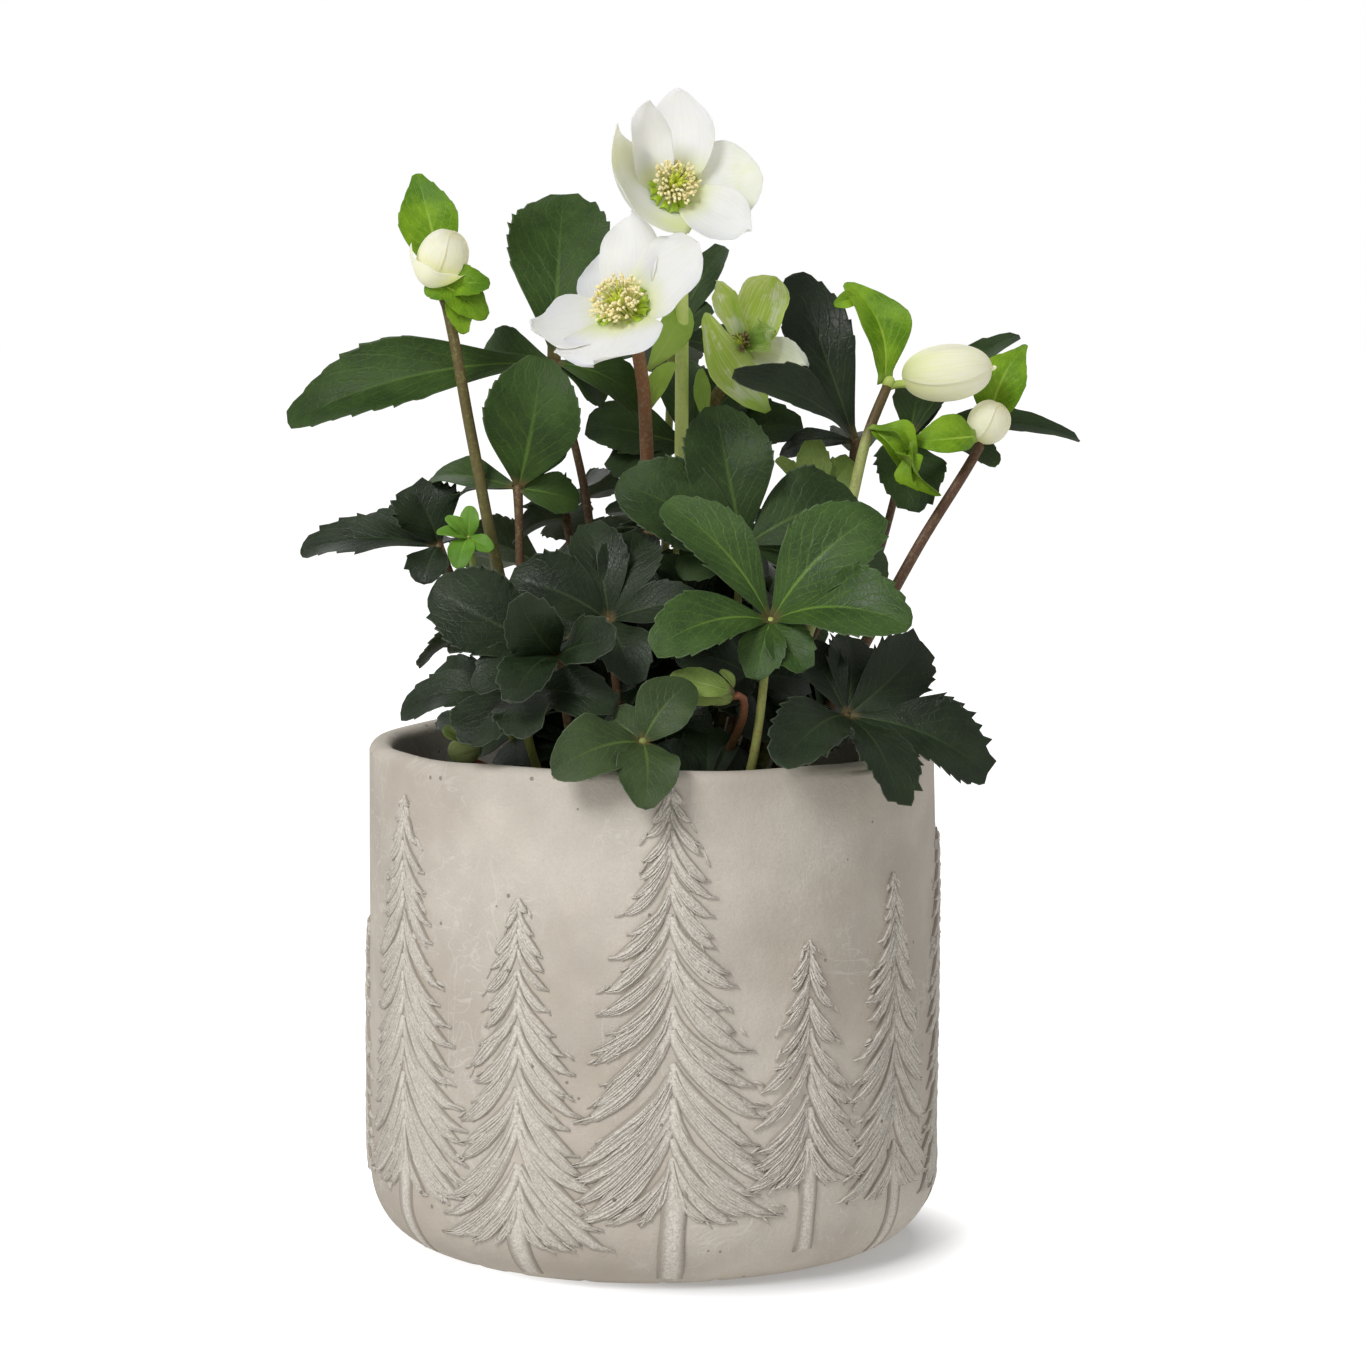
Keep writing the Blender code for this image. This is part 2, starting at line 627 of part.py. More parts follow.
clear_scene()
parts = new_collection("potted_christmas_rose")
helpers = new_collection("helpers")
materials = {name: new_material(name, *finish) for name, finish in FINISHES.items()}

cover_pot()
grow_pot()
soil()
for leaf_name, leaf_row in LEAVES.items():
    compound_leaf(leaf_name, *leaf_row)
for flower_name, flower_row in FLOWERS.items():
    flower(flower_name, *flower_row)
for bud_name, bud_row in BUDS.items():
    budding_stem(bud_name, *bud_row)
for bud_name, bud_row in LOW_BUDS.items():
    low_bud(bud_name, *bud_row)
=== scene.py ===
"""The looks of a potted christmas rose (Helleborus niger) in a cast cement cover pot.

Metres, +Z up, the front is -Y. The tables of firs, leaves, flowers and buds are in millimetres,
and metres() takes them over. One section for each piece or group of like pieces, in the order
in which they are put together: studio, cover pot, grow pot, soil, leaves, flowers, buds.
"""

import math
import random

import bpy
import numpy as np
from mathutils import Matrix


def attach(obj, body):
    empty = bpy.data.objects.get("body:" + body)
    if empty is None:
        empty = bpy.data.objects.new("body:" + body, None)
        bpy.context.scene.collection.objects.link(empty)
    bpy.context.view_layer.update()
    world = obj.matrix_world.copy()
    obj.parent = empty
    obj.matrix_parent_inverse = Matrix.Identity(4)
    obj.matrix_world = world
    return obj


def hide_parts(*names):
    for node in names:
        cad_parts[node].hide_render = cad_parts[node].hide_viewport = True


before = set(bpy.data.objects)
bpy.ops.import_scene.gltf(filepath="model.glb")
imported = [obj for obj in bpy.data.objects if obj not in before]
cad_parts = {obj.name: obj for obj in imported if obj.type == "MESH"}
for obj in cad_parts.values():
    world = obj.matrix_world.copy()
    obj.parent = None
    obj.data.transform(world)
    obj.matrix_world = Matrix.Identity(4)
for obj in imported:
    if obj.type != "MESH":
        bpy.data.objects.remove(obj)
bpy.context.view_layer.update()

# ---------------------------------------------------------------------------------------------
# Studio
# A white paper sweep under one big soft box at the front left, with a weaker one at the right
# that lifts the shadow side. The floor's own glow burns it out to white, except in a disc at the
# pot's front right where that glow is turned down: a painted shadow, laid over the one the pot casts.

FLOOR_HALF = 12
LIGHTS_LOOK_AT = (0, 0, 0.16)
# Each light: where it stands, its size and its watts
LIGHTS = {
    "key_light": ((-0.92, -1.4, 1.5), 0.7, 27.6),
    "fill_light": ((1.6, -0.9, 0.8), 1.2, 1.3),
    "back_light": ((-0.5, 1.5, 1.6), 1, 8),
}
EYE_AT = (0.0093, -1.193, 0.292)
EYE_DIP = 0.105
LENS_MM, SENSOR_MM = 105.4, 36
SURROUND = 0.42
# Painted shadow on the floor: its middle, where it starts to fade and where it is gone, then the floor's glow
# for the camera inside it and outside it, and its glow for all other light
SHADOW_AT = (0.022, -0.014, 0)
SHADOW_INNER, SHADOW_OUTER = 0.056, 0.078
GLOW_IN_SHADOW, GLOW_OUTSIDE, GLOW_UNSEEN = 0.24, 0.86, 0.36

studio = bpy.context.scene
studio.view_settings.view_transform = "Standard"

lens = bpy.data.cameras.new("studio_camera")
lens.lens, lens.sensor_width = LENS_MM, SENSOR_MM
lens.clip_start, lens.clip_end = 0.05, 60
camera = bpy.data.objects.new("studio_camera", lens)
camera.location = EYE_AT
camera.rotation_euler = (math.pi / 2 - EYE_DIP, 0, 0)
studio.collection.objects.link(camera)
studio.camera = camera

for name, (at, size, watts) in LIGHTS.items():
    lamp = bpy.data.lights.new(name, "AREA")
    lamp.size, lamp.energy = size, watts
    stand = bpy.data.objects.new(name, lamp)
    stand.location = at
    away = stand.location.copy()
    for index in range(3):
        away[index] -= LIGHTS_LOOK_AT[index]
    stand.rotation_euler = away.to_track_quat("Z", "Y").to_euler()
    studio.collection.objects.link(stand)


def place(tree, kind, feeds, **settings):
    """Adds a node. A feed is a socket to link, or a value for the node's own socket."""
    item = tree.nodes.new(kind)
    for key, value in settings.items():
        setattr(item, key, value)
    for key, value in feeds.items():
        socket = item.inputs[key]
        if isinstance(value, bpy.types.NodeSocket):
            tree.links.new(value, socket)
        else:
            socket.default_value = (*value, 1) if socket.type == "RGBA" else value
    return item


room = bpy.data.worlds.new("white_room")
room.use_nodes = True
walls = room.node_tree
walls.nodes.clear()
seen = place(walls, "ShaderNodeLightPath", {}).outputs["Is Camera Ray"]
white = place(walls, "ShaderNodeBackground", {"Color": (1, 1, 1), "Strength": 1})
dim = place(walls, "ShaderNodeBackground", {"Color": (1, 1, 1), "Strength": SURROUND})
both = place(walls, "ShaderNodeMixShader", {0: seen, 1: dim.outputs[0], 2: white.outputs[0]})
place(walls, "ShaderNodeOutputWorld", {"Surface": both.outputs[0]})
studio.world = room

paper = bpy.data.materials.new("white_paper")
paper.use_nodes = True
sheet = paper.node_tree
sheet_shader = sheet.nodes["Principled BSDF"]
sheet_shader.inputs["Base Color"].default_value = (0.48, 0.48, 0.48, 1)
sheet_shader.inputs["Roughness"].default_value = 0.9
sheet_shader.inputs["Specular IOR Level"].default_value = 0.1
# Painted shadow: the glow that the camera sees is turned down in a disc round SHADOW_AT
spot = place(sheet, "ShaderNodeNewGeometry", {}).outputs["Position"]
away = place(sheet, "ShaderNodeVectorMath", {0: spot, 1: SHADOW_AT}, operation="DISTANCE").outputs["Value"]
feeds = {"Value": away, "From Min": SHADOW_INNER, "From Max": SHADOW_OUTER}
feeds |= {"To Min": GLOW_IN_SHADOW, "To Max": GLOW_OUTSIDE}
glow_with_painted_shadow = place(sheet, "ShaderNodeMapRange", feeds)
seen = place(sheet, "ShaderNodeLightPath", {}).outputs["Is Camera Ray"]
glow = place(sheet, "ShaderNodeEmission", {"Color": (1, 1, 1), "Strength": glow_with_painted_shadow.outputs[0]})
dull_glow = place(sheet, "ShaderNodeEmission", {"Color": (1, 0.98, 0.95), "Strength": GLOW_UNSEEN})
which = place(sheet, "ShaderNodeMixShader", {0: seen, 1: dull_glow.outputs[0], 2: glow.outputs[0]})
lit = place(sheet, "ShaderNodeAddShader", {0: sheet_shader.outputs[0], 1: which.outputs[0]})
sheet.links.new(lit.outputs[0], sheet.nodes["Material Output"].inputs["Surface"])
floor_mesh = bpy.data.meshes.new("paper_floor")
corners = [(-1, -1), (1, -1), (1, 1), (-1, 1)]
floor_mesh.from_pydata([(FLOOR_HALF * x, FLOOR_HALF * y, 0) for x, y in corners], [], [(0, 1, 2, 3)])
floor_mesh.materials.append(paper)
paper_floor = bpy.data.objects.new("paper_floor", floor_mesh)
studio.collection.objects.link(paper_floor)

# ---------------------------------------------------------------------------------------------
# Cement cover pot
# A round pot cast in grey-beige cement, about 7 mm thick, with a softened rim and a rounded foot.
# Fir trees stand in low relief all round the wall. They are cast in one with it. The flanks of the
# relief are painted dark, as shade and grime in its grooves, and the top of each ridge is painted
# paler than the wall, as rubbed wear and a painted highlight. The inner wall is painted dark below
# the rim as the shade inside the pot. Small air holes, painted dark as the shade in them, and fine
# pale scratches are left bare.

POT_RADIUS = 0.0843
POT_HEIGHT = 0.15
POT_WALL = 0.007
POT_FLOOR = 0.009
FOOT_RADIUS = 0.066
FOOT_CURVE = 0.019
RIM_CURVE = 0.003
INNER_CURVE_WIDE, INNER_CURVE_TALL = 0.019, 0.021
POT_SIDES = 256
AXIS_GAP = 0.0006
CUSHION = 0.00045
RIM_WAVE, RIM_RIPPLE, RIM_DROP = 0.00035, 0.0002, 0.0003
FADE_ROWS = 24
CHIPS, CHIP_TOP = 22, 0.004
# Unevenness of the wall: waves round the pot, turn with height, start, size in millimetres
WAVES = ((2, 9, 0.3, 0.3), (3, -17, 1.9, 0.22), (5, 31, 4, 0.16), (9, 58, 2.2, 0.1), (17, -95, 0.8, 0.06))

# Fir trees: angle from the front in degrees, height of the top, height of the lowest branch,
# spread of the lowest branches to each side
FIRS = (
    (4, 146.5, 22, 28.5), (32, 101, 30, 19), (56, 116.5, 23, 23), (86, 124, 18, 23), (119, 108, 26, 21),
    (150, 140, 20, 27), (181, 112, 24, 21.5), (210, 126, 18, 24), (240, 101, 27, 20.5), (268, 96, 22, 21.5),
    (303, 139, 23, 29), (334, 113.5, 13, 24.5),
)
TIER_STEP = 0.0056
BOUGH_STEPS = 9
BOUGH_PROUD = 0.00095
BARE_TOP = 0.004
NEEDLE_STEPS = 6
NEEDLE_PROUD = 0.00072
NEEDLE_WIDTH, NEEDLE_SPACING, NEEDLE_WOBBLE = 0.0011, 0.0045, 0.00016
TWIG_WIDTH, TWIG_PROUD = 0.00062, BOUGH_PROUD + 0.0002
TRUNK_PROUD = 0.00062
SUNK = 0.0006
LOWEST_CAST, HIGHEST_CAST = 0.003, 0.1475
# Skirt of each fir, under its lowest boughs: reach and drop, as shares of the spread
SKIRT = ((0.13, 0.12), (0.34, -0.01), (0.58, -0.03), (0.82, 0.04))


def metres(value):
    """Millimetres taken over into metres, in a tuple of any depth."""
    return tuple(metres(part) for part in value) if isinstance(value, tuple) else value / 1000


def circle(sides):
    """Evenly spaced turns round a circle."""
    return np.linspace(0, 2 * np.pi, sides, endpoint=False)


def level_ring(radius, turn, height):
    """Points round the plant's upright axis."""
    return np.stack([radius * np.cos(turn), radius * np.sin(turn), height + 0 * turn], axis=-1)


def arc(out, level, wide, tall, start, end, count):
    """Part of an upright oval, between two angles in degrees."""
    tilt = np.radians(np.linspace(start, end, count))
    return list(zip(out + wide * np.cos(tilt), level + tall * np.sin(tilt)))


def fir_spread(below, height, spread):
    """Half width of a fir at a distance below its top."""
    return spread * np.clip(below / height, 0, 1) ** 0.72


def pot_side(height):
    """Radius of the plain outer wall at each height, rounded in at the foot and the rim."""
    height = np.asarray(height, float)
    low = np.clip((FOOT_CURVE - height) / FOOT_CURVE, 0, 1)
    foot = FOOT_RADIUS + (POT_RADIUS - FOOT_RADIUS) * np.sqrt(np.clip(1 - low**2, 0, 1))
    high = np.clip((height - (POT_HEIGHT - RIM_CURVE)) / RIM_CURVE, 0, 1)
    barrel = 0.0006 * np.sin(np.pi * np.clip(height / POT_HEIGHT, 0, 1))
    return foot + barrel - RIM_CURVE * (1 - np.sqrt(np.clip(1 - high**2, 0, 1)))


def hand_cast(angle, height):
    """The wall's slight unevenness."""
    waves = (size * np.sin(turns * angle + climb * height + start) for turns, climb, start, size in WAVES)
    return sum(waves) * 0.001


def fir_cushion(angle, height):
    """How far the wall swells under the firs."""
    swell = np.zeros(np.broadcast(angle, height).shape)
    for facing, *sizes in FIRS:
        top, low, spread = metres(tuple(sizes))
        away = (angle - math.radians(facing - 90) + np.pi) % (2 * np.pi) - np.pi
        inside = fir_spread(top - height, top - low, spread) - np.abs(away) * POT_RADIUS
        rise = np.clip(inside / 0.004 + 0.35, 0, 1) * np.clip((height - low + 0.012) / 0.01, 0, 1)
        swell = np.maximum(swell, rise * (height < top))
    return swell * CUSHION


def loft(rings, along=None, across=None, kinds=0):
    """Skins closed rings of points, each seen anticlockwise from the next one, and caps the ends.
    across holds one more place than a ring, so that a pattern can close on itself. kinds numbers
    the finish, or each column's. Gives points, faces, corner places on the surface, face finishes."""
    rows, sides, _ = rings.shape
    along = np.linspace(0, 1, rows) if along is None else np.asarray(along, float)
    across = np.linspace(0, 1, sides + 1) if across is None else np.asarray(across, float)
    kinds = np.broadcast_to(kinds, sides).tolist()
    row, side = np.meshgrid(np.arange(rows - 1), np.arange(sides), indexing="ij")
    low, high, after = row * sides, (row + 1) * sides, (side + 1) % sides
    faces = np.stack([low + side, low + after, high + after, high + side], axis=-1).reshape(-1, 4).tolist()
    up = along[np.stack([row, row, row + 1, row + 1], axis=-1)]
    over = across[np.stack([side, side + 1, side + 1, side], axis=-1)]
    first, last = list(range(sides))[::-1], list(range((rows - 1) * sides, rows * sides))
    ends = [(along[0], across[index]) for index in first] + [(along[-1], spot) for spot in across[:sides]]
    places = np.concatenate([np.stack([up, over], axis=-1).reshape(-1, 2), ends])
    return rings.reshape(-1, 3), faces + [first, last], places, kinds * (rows - 1) + kinds[:1] * 2


def make_piece(name, patches, finishes, node):
    """One object from lofted patches, which rides on the plant and stands for its CAD node."""
    points, faces, places, kinds, start = [], [], [], [], 0
    for spots, cells, spread, finish in patches:
        points.append(spots)
        faces += [[corner + start for corner in cell] for cell in cells]
        places.append(spread)
        kinds += finish
        start += len(spots)
    mesh = bpy.data.meshes.new(name)
    mesh.from_pydata(np.concatenate(points).tolist(), [], faces)
    spread = np.concatenate(places).astype(np.float32).ravel()
    mesh.uv_layers.new(name="surface").uv.foreach_set("vector", spread)
    mesh.polygons.foreach_set("material_index", np.array(kinds, np.int32))
    mesh.polygons.foreach_set("use_smooth", np.full(len(kinds), True))
    for finish in finishes:
        mesh.materials.append(finish)
    mesh.update()
    piece = bpy.data.objects.new(name, mesh)
    studio.collection.objects.link(piece)
    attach(piece, "root")
    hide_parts(node)


turn = circle(POT_SIDES)
inner = POT_RADIUS - POT_WALL
rim_level = POT_HEIGHT - RIM_CURVE
floor_level = POT_FLOOR + INNER_CURVE_TALL
outline = [(radius, 0) for radius in (AXIS_GAP, 0.02, 0.04, 0.056, 0.063)]
foot_rows = len(outline)
outline += [(pot_side(z), z) for z in FOOT_CURVE * (1 - np.cos(np.linspace(0, np.pi / 2, 18)))]
outline += [(pot_side(z), z) for z in np.linspace(FOOT_CURVE, rim_level, 84)[1:]]
outer_rows = len(outline)
outline += arc(POT_RADIUS - RIM_CURVE, rim_level, RIM_CURVE, RIM_CURVE, 0, 90, 7)[1:]
outline += arc(inner + RIM_CURVE, rim_level, RIM_CURVE, RIM_CURVE, 90, 180, 7)
rim_rows = len(outline)
outline += [(inner, z) for z in np.linspace(rim_level, floor_level, 26)[1:]]
outline += arc(inner - INNER_CURVE_WIDE, floor_level, INNER_CURVE_WIDE, -INNER_CURVE_TALL, 0, 90, 8)[1:]
outline += [(radius, POT_FLOOR) for radius in (0.045, 0.03, 0.015, AXIS_GAP)]

rings = []
for index, (reach, level) in enumerate(outline):
    if foot_rows <= index < outer_rows:
        reach = reach + hand_cast(turn, level) + fir_cushion(turn, level)
    elif index >= outer_rows:
        reach = reach + hand_cast(turn, level) * max(0, 1 - (index - outer_rows) / FADE_ROWS)
        if index < rim_rows:
            level = level + RIM_WAVE * np.sin(3 * turn + 0.6) + RIM_RIPPLE * np.sin(11 * turn) - RIM_DROP
    rings.append(level_ring(reach, turn, level))
rings = np.stack(rings)
chipper = random.Random(11)
foot_band = slice(3, 14)
for _ in range(CHIPS):
    spot, size = chipper.uniform(0, 2 * math.pi), chipper.uniform(0.0008, 0.0026)
    depth = chipper.uniform(0.0003, 0.0009)
    round_foot = np.arctan2(rings[foot_band, :, 1], rings[foot_band, :, 0])
    away = np.abs((round_foot - spot + np.pi) % (2 * np.pi) - np.pi) * FOOT_RADIUS
    low = np.clip(1 - rings[foot_band, :, 2] / CHIP_TOP, 0, 1)
    bite = np.clip(1 - away / size, 0, 1) ** 0.6 * low * depth
    rings[foot_band, :, :2] *= (1 - bite / FOOT_RADIUS)[:, :, None]
    rings[foot_band, :, 2] += bite * 0.9

rim_place = rim_rows / (len(outline) - 1)
pot_patch = loft(rings)


def beside(path):
    """Steps one long to the left of a flat path, square to it."""
    run = np.gradient(path, axis=0)
    run /= np.linalg.norm(run, axis=1)[:, None] + 1e-12
    return np.stack([-run[:, 1], run[:, 0]], axis=-1)


def cast_strip(facing, path, section, half_width, height):
    """A raised strip on the wall along a path of (sideways, height) points. section is its cross
    section, as shares of the half width and of the height, with the last point below the wall."""
    left = beside(path)
    rings = []
    for share, proud in section:
        spot = path + left * (half_width * share)[:, None]
        angle = math.radians(facing - 90) + spot[:, 0] / POT_RADIUS
        level = np.clip(spot[:, 1], LOWEST_CAST, HIGHEST_CAST)
        lift = height * proud if proud > 0 else -SUNK
        radius = pot_side(level) + hand_cast(angle, level) + fir_cushion(angle, level) + lift
        rings.append(level_ring(radius, angle, level))
    marks = [(1 - share) / 2 for share, _ in section]
    return loft(np.stack(rings, axis=1), across=marks + marks[:1])


BOUGH = ((1, 0), (0.74, 0.5), (0.1, 0.76), (-0.52, 0.96), (-0.9, 0.92), (-1, 0))
NEEDLE = ((1, 0), (0.3, 1), (-0.4, 0.82), (-1, 0))
TWIG = ((1, 0), (0, 1), (-1, 0))
TRUNK = (
    (1, 0), (0.86, 0.95), (0.62, 0.6), (0.4, 1), (0.08, 0.55), (-0.2, 0.9), (-0.5, 0.5), (-0.72, 1),
    (-0.9, 0.8), (-1, 0),
)


def fir(facing, top, low, spread, seed):
    """One fir: boughs that sweep down and out like shingles. Each is a fan of rough needle strokes
    that ends in ragged points."""
    hand = random.Random(seed)
    patches = []
    step = np.linspace(0, 1, NEEDLE_STEPS)
    bough_step = np.linspace(0, 1, BOUGH_STEPS)
    taper = np.sin(np.pi * (0.12 + 0.82 * step)) ** 0.6
    tiers = max(8, int((top - low) / TIER_STEP))

    def uneven(low_share, high_share):
        return np.array([hand.uniform(low_share, high_share) for _ in step])

    for side in (-1, 1):
        section = BOUGH if side < 0 else tuple((-share, proud) for share, proud in BOUGH[::-1])
        for tier in range(tiers + 1 + len(SKIRT)):
            share = (tier + hand.uniform(-0.26, 0.26)) / tiers
            below = min(max(BARE_TOP + (top - low - BARE_TOP) * share, 0.003), top - low)
            reach = float(fir_spread(below, top - low, spread)) * hand.uniform(0.82, 1.12)
            if tier > tiers:
                out, drop = SKIRT[tier - tiers - 1]
                below, reach = top - low - spread * drop, spread * out * hand.uniform(0.9, 1.1)
            start = min(top - below + reach * hand.uniform(0.74, 1.04) + BARE_TOP, top - 0.0005)
            if tier > tiers:
                start = max(start, top - below + spread * 0.5)
            fall = start - (top - below)
            bow, sag = hand.uniform(1.2, 1.6), hand.uniform(1.15, 1.6)
            bulk = 0.001 + 0.0021 * min(1, reach / 0.022) * hand.uniform(0.8, 1.2)

            def sweep(place_on):
                level = start - fall * (1 - np.clip(1 - place_on, 0, 1) ** sag)
                return np.stack([side * (0.0002 + reach * place_on**bow), level], axis=-1)

            body = np.interp(bough_step, (0, 0.3, 0.66, 0.88, 1), (0.45, 0.78, 1, 0.62, 0.1))
            lift = BOUGH_PROUD * (0.5 + 0.5 * bough_step) * np.clip((1.02 - bough_step) / 0.1, 0.35, 1)
            patches.append(cast_strip(facing, sweep(bough_step), section, bulk * body, lift))
            strokes = 2 + int(min(4, reach / NEEDLE_SPACING))
            for stroke in range(strokes):
                lane = -0.95 + 1.9 * (stroke + 0.5) / strokes + hand.uniform(-0.16, 0.16)
                first = hand.uniform(0.04, 0.42)
                last = 1.1 - 0.24 * abs(lane) ** 1.5 + hand.uniform(-0.16, 0.06)
                spots = first + (min(1.06, max(first + 0.35, last)) - first) * step
                line = sweep(np.clip(spots, 0, 1.06))
                fan = bulk * np.interp(spots, bough_step, body) * lane * (0.35 + 0.7 * spots) * -side
                line = line + beside(line) * fan[:, None]
                line = line + np.stack([uneven(-1, 1), uneven(-1, 1)], axis=-1) * NEEDLE_WOBBLE
                under = BOUGH_PROUD * (0.4 + 0.22 * (1 - lane)) * (0.5 + 0.5 * np.clip(spots, 0, 1))
                crest = under + NEEDLE_PROUD * taper * uneven(0.55, 1.2)
                width = min(NEEDLE_WIDTH, bulk * 1.15 / strokes) * hand.uniform(0.75, 1.15)
                patches.append(cast_strip(facing, line, NEEDLE, width * taper * uneven(0.75, 1.2), crest))
            for _ in range(3 if reach > 0.008 else 1):
                spot = hand.uniform(0.3, 0.98)
                foot = sweep(np.array([spot - 0.06, spot]))
                run = (foot[1] - foot[0]) / np.linalg.norm(foot[1] - foot[0])
                swing = hand.uniform(-0.15, 0.55) * -side
                turned, square = math.cos(swing), math.sin(swing)
                run = np.array([run[0] * turned - run[1] * square, run[0] * square + run[1] * turned])
                off = np.array([-run[1], run[0]]) * bulk * hand.uniform(-0.2, 0.9) * side
                line = foot[1] + off + run * hand.uniform(0.0028, 0.005) * step[:, None]
                patches.append(cast_strip(facing, line, TWIG, TWIG_WIDTH * taper, TWIG_PROUD * taper))
    foot = max(0.0035, low - 0.02)
    level = np.linspace(low + 0.012, foot, NEEDLE_STEPS * 2)
    lean = hand.uniform(-0.001, 0.001)
    sideways = lean * (level - foot) / (low - foot + 0.012) + 0.0002 * np.sin(level * 300)
    line = np.stack([sideways, level], axis=-1)
    thick = 0.1 * spread + 0.0014 + 0.0003 * np.sin(level * 220)
    return patches + [cast_strip(facing, line, TRUNK, thick, TRUNK_PROUD)]


fir_patches = {"front": [], "back": []}
for number, (facing, *sizes) in enumerate(FIRS):
    half = "back" if 100 < facing < 280 else "front"
    fir_patches[half] += fir(facing, *metres(tuple(sizes)), seed=31 + number)


def new_group(name, inputs, outputs):
    """An empty shader node group with its named sockets: itself, what goes in, what comes out."""
    group = bpy.data.node_groups.new(name, "ShaderNodeTree")
    for label, value in inputs.items():
        socket = group.interface.new_socket(label, in_out="INPUT", socket_type="NodeSocketFloat")
        socket.default_value = value
    for label in outputs:
        group.interface.new_socket(label, in_out="OUTPUT", socket_type="NodeSocketFloat")
    return group, place(group, "NodeGroupInput", {}).outputs, place(group, "NodeGroupOutput", {}).inputs


def sums(operation, first, second=0, third=0, clamp=False):
    """One Math node's result. Its first value is a socket, and it stands in that socket's tree."""
    feeds = {0: first, 1: second, 2: third}
    return place(first.id_data, "ShaderNodeMath", feeds, operation=operation, use_clamp=clamp).outputs[0]


def times(first, second):
    """One value times another."""
    return sums("MULTIPLY", first, second)


def ramp(value, low, high, to_low=0, to_high=1):
    """A value taken smoothly from one range to another."""
    feeds = {"Value": value, "From Min": low, "From Max": high, "To Min": to_low, "To Max": to_high}
    return place(value.id_data, "ShaderNodeMapRange", feeds, interpolation_type="SMOOTHSTEP").outputs[0]


def blend(share, first, second):
    """A colour between two, by a share from 0 to 1. The share or the first colour is a socket."""
    tree = (share if isinstance(share, bpy.types.NodeSocket) else first).id_data
    return place(tree, "ShaderNodeMix", {0: share, 6: first, 7: second}, data_type="RGBA").outputs[2]


def noise(tree, where, scale, detail, **more):
    """Noise over a place, from 0 to 1."""
    feeds = {"Vector": where, "Scale": scale, "Detail": detail, **more}
    return place(tree, "ShaderNodeTexNoise", feeds).outputs[0]


# Mottling: soft clouds over fine grain, used on cement, soil, leaves and stems
mottle, entry, leave = new_group("mottling", {"Cloud Scale": 20, "Grain Scale": 400}, ("Clouds", "Grain"))
where = place(mottle, "ShaderNodeTexCoord", {}).outputs["Object"]
clouds = noise(mottle, where, entry["Cloud Scale"], 4, Roughness=0.6)
grain = noise(mottle, where, entry["Grain Scale"], 3, Roughness=0.6)
mottle.links.new(ramp(clouds, 0.3, 0.7), leave["Clouds"])
mottle.links.new(grain, leave["Grain"])

# Casting marks: air holes, and pale scratches that wander over the wall
marks, entry, leave = new_group("casting_marks", {"Hole Scale": 90}, ("Holes", "Scratches"))
where = place(marks, "ShaderNodeTexCoord", {}).outputs["Object"]
feeds = {"Vector": where, "Scale": entry["Hole Scale"], "Randomness": 1}
cells = place(marks, "ShaderNodeTexVoronoi", feeds).outputs
picked = place(marks, "ShaderNodeSeparateColor", {"Color": cells["Color"]}).outputs[0]
marks.links.new(sums("LESS_THAN", cells["Distance"], ramp(picked, 0.9, 1, 0, 0.2)), leave["Holes"])
lines = None
scratches = ((55, (1, 1, 0.45), 0.01), (80, (0.5, 0.5, 1.3), 0.012), (120, (1, 0.6, 0.8), 0.012))
for scale, stretch, thin in scratches:
    feeds = {"Vector": where, "Scale": stretch, "Rotation": (0.4, 0.9, 0.2)}
    wander = noise(marks, place(marks, "ShaderNodeMapping", feeds).outputs[0], scale, 2, Distortion=0.8)
    line = ramp(sums("ABSOLUTE", sums("SUBTRACT", wander, 0.5)), 0, thin, 1, 0)
    lines = sums("MAXIMUM", lines, line) if lines else line
marks.links.new(times(lines, ramp(noise(marks, where, 24, 2), 0.45, 0.62)), leave["Scratches"])


def mottling(tree, cloud_scale, grain_scale):
    """Soft clouds and fine grain, each from 0 to 1."""
    feeds = {"Cloud Scale": cloud_scale, "Grain Scale": grain_scale}
    soft = place(tree, "ShaderNodeGroup", feeds, node_tree=mottle).outputs
    return soft["Clouds"], soft["Grain"]


def new_finish(name, cloud_scale, grain_scale):
    """A new material, its nodes, and its clouds and grain."""
    made = bpy.data.materials.new(name)
    made.use_nodes = True
    return made, made.node_tree, *mottling(made.node_tree, cloud_scale, grain_scale)


def dress(made, tone, roughness, height, strength, depth, shine=0.5):
    """Feeds colour, roughness, shine and a bump of some strength and depth to a material's shader."""
    tree, shader = made.node_tree, made.node_tree.nodes["Principled BSDF"].inputs
    tree.links.new(tone, shader["Base Color"])
    tree.links.new(roughness, shader["Roughness"])
    shader["Specular IOR Level"].default_value = shine
    bump = place(tree, "ShaderNodeBump", {"Height": height, "Strength": strength, "Distance": depth})
    tree.links.new(bump.outputs[0], shader["Normal"])
    return made


def surface_place(tree):
    """Along and across a lofted surface, each from 0 to 1."""
    spread = place(tree, "ShaderNodeUVMap", {}, uv_map="surface")
    parts = place(tree, "ShaderNodeSeparateXYZ", {"Vector": spread.outputs[0]})
    return parts.outputs["X"], parts.outputs["Y"]


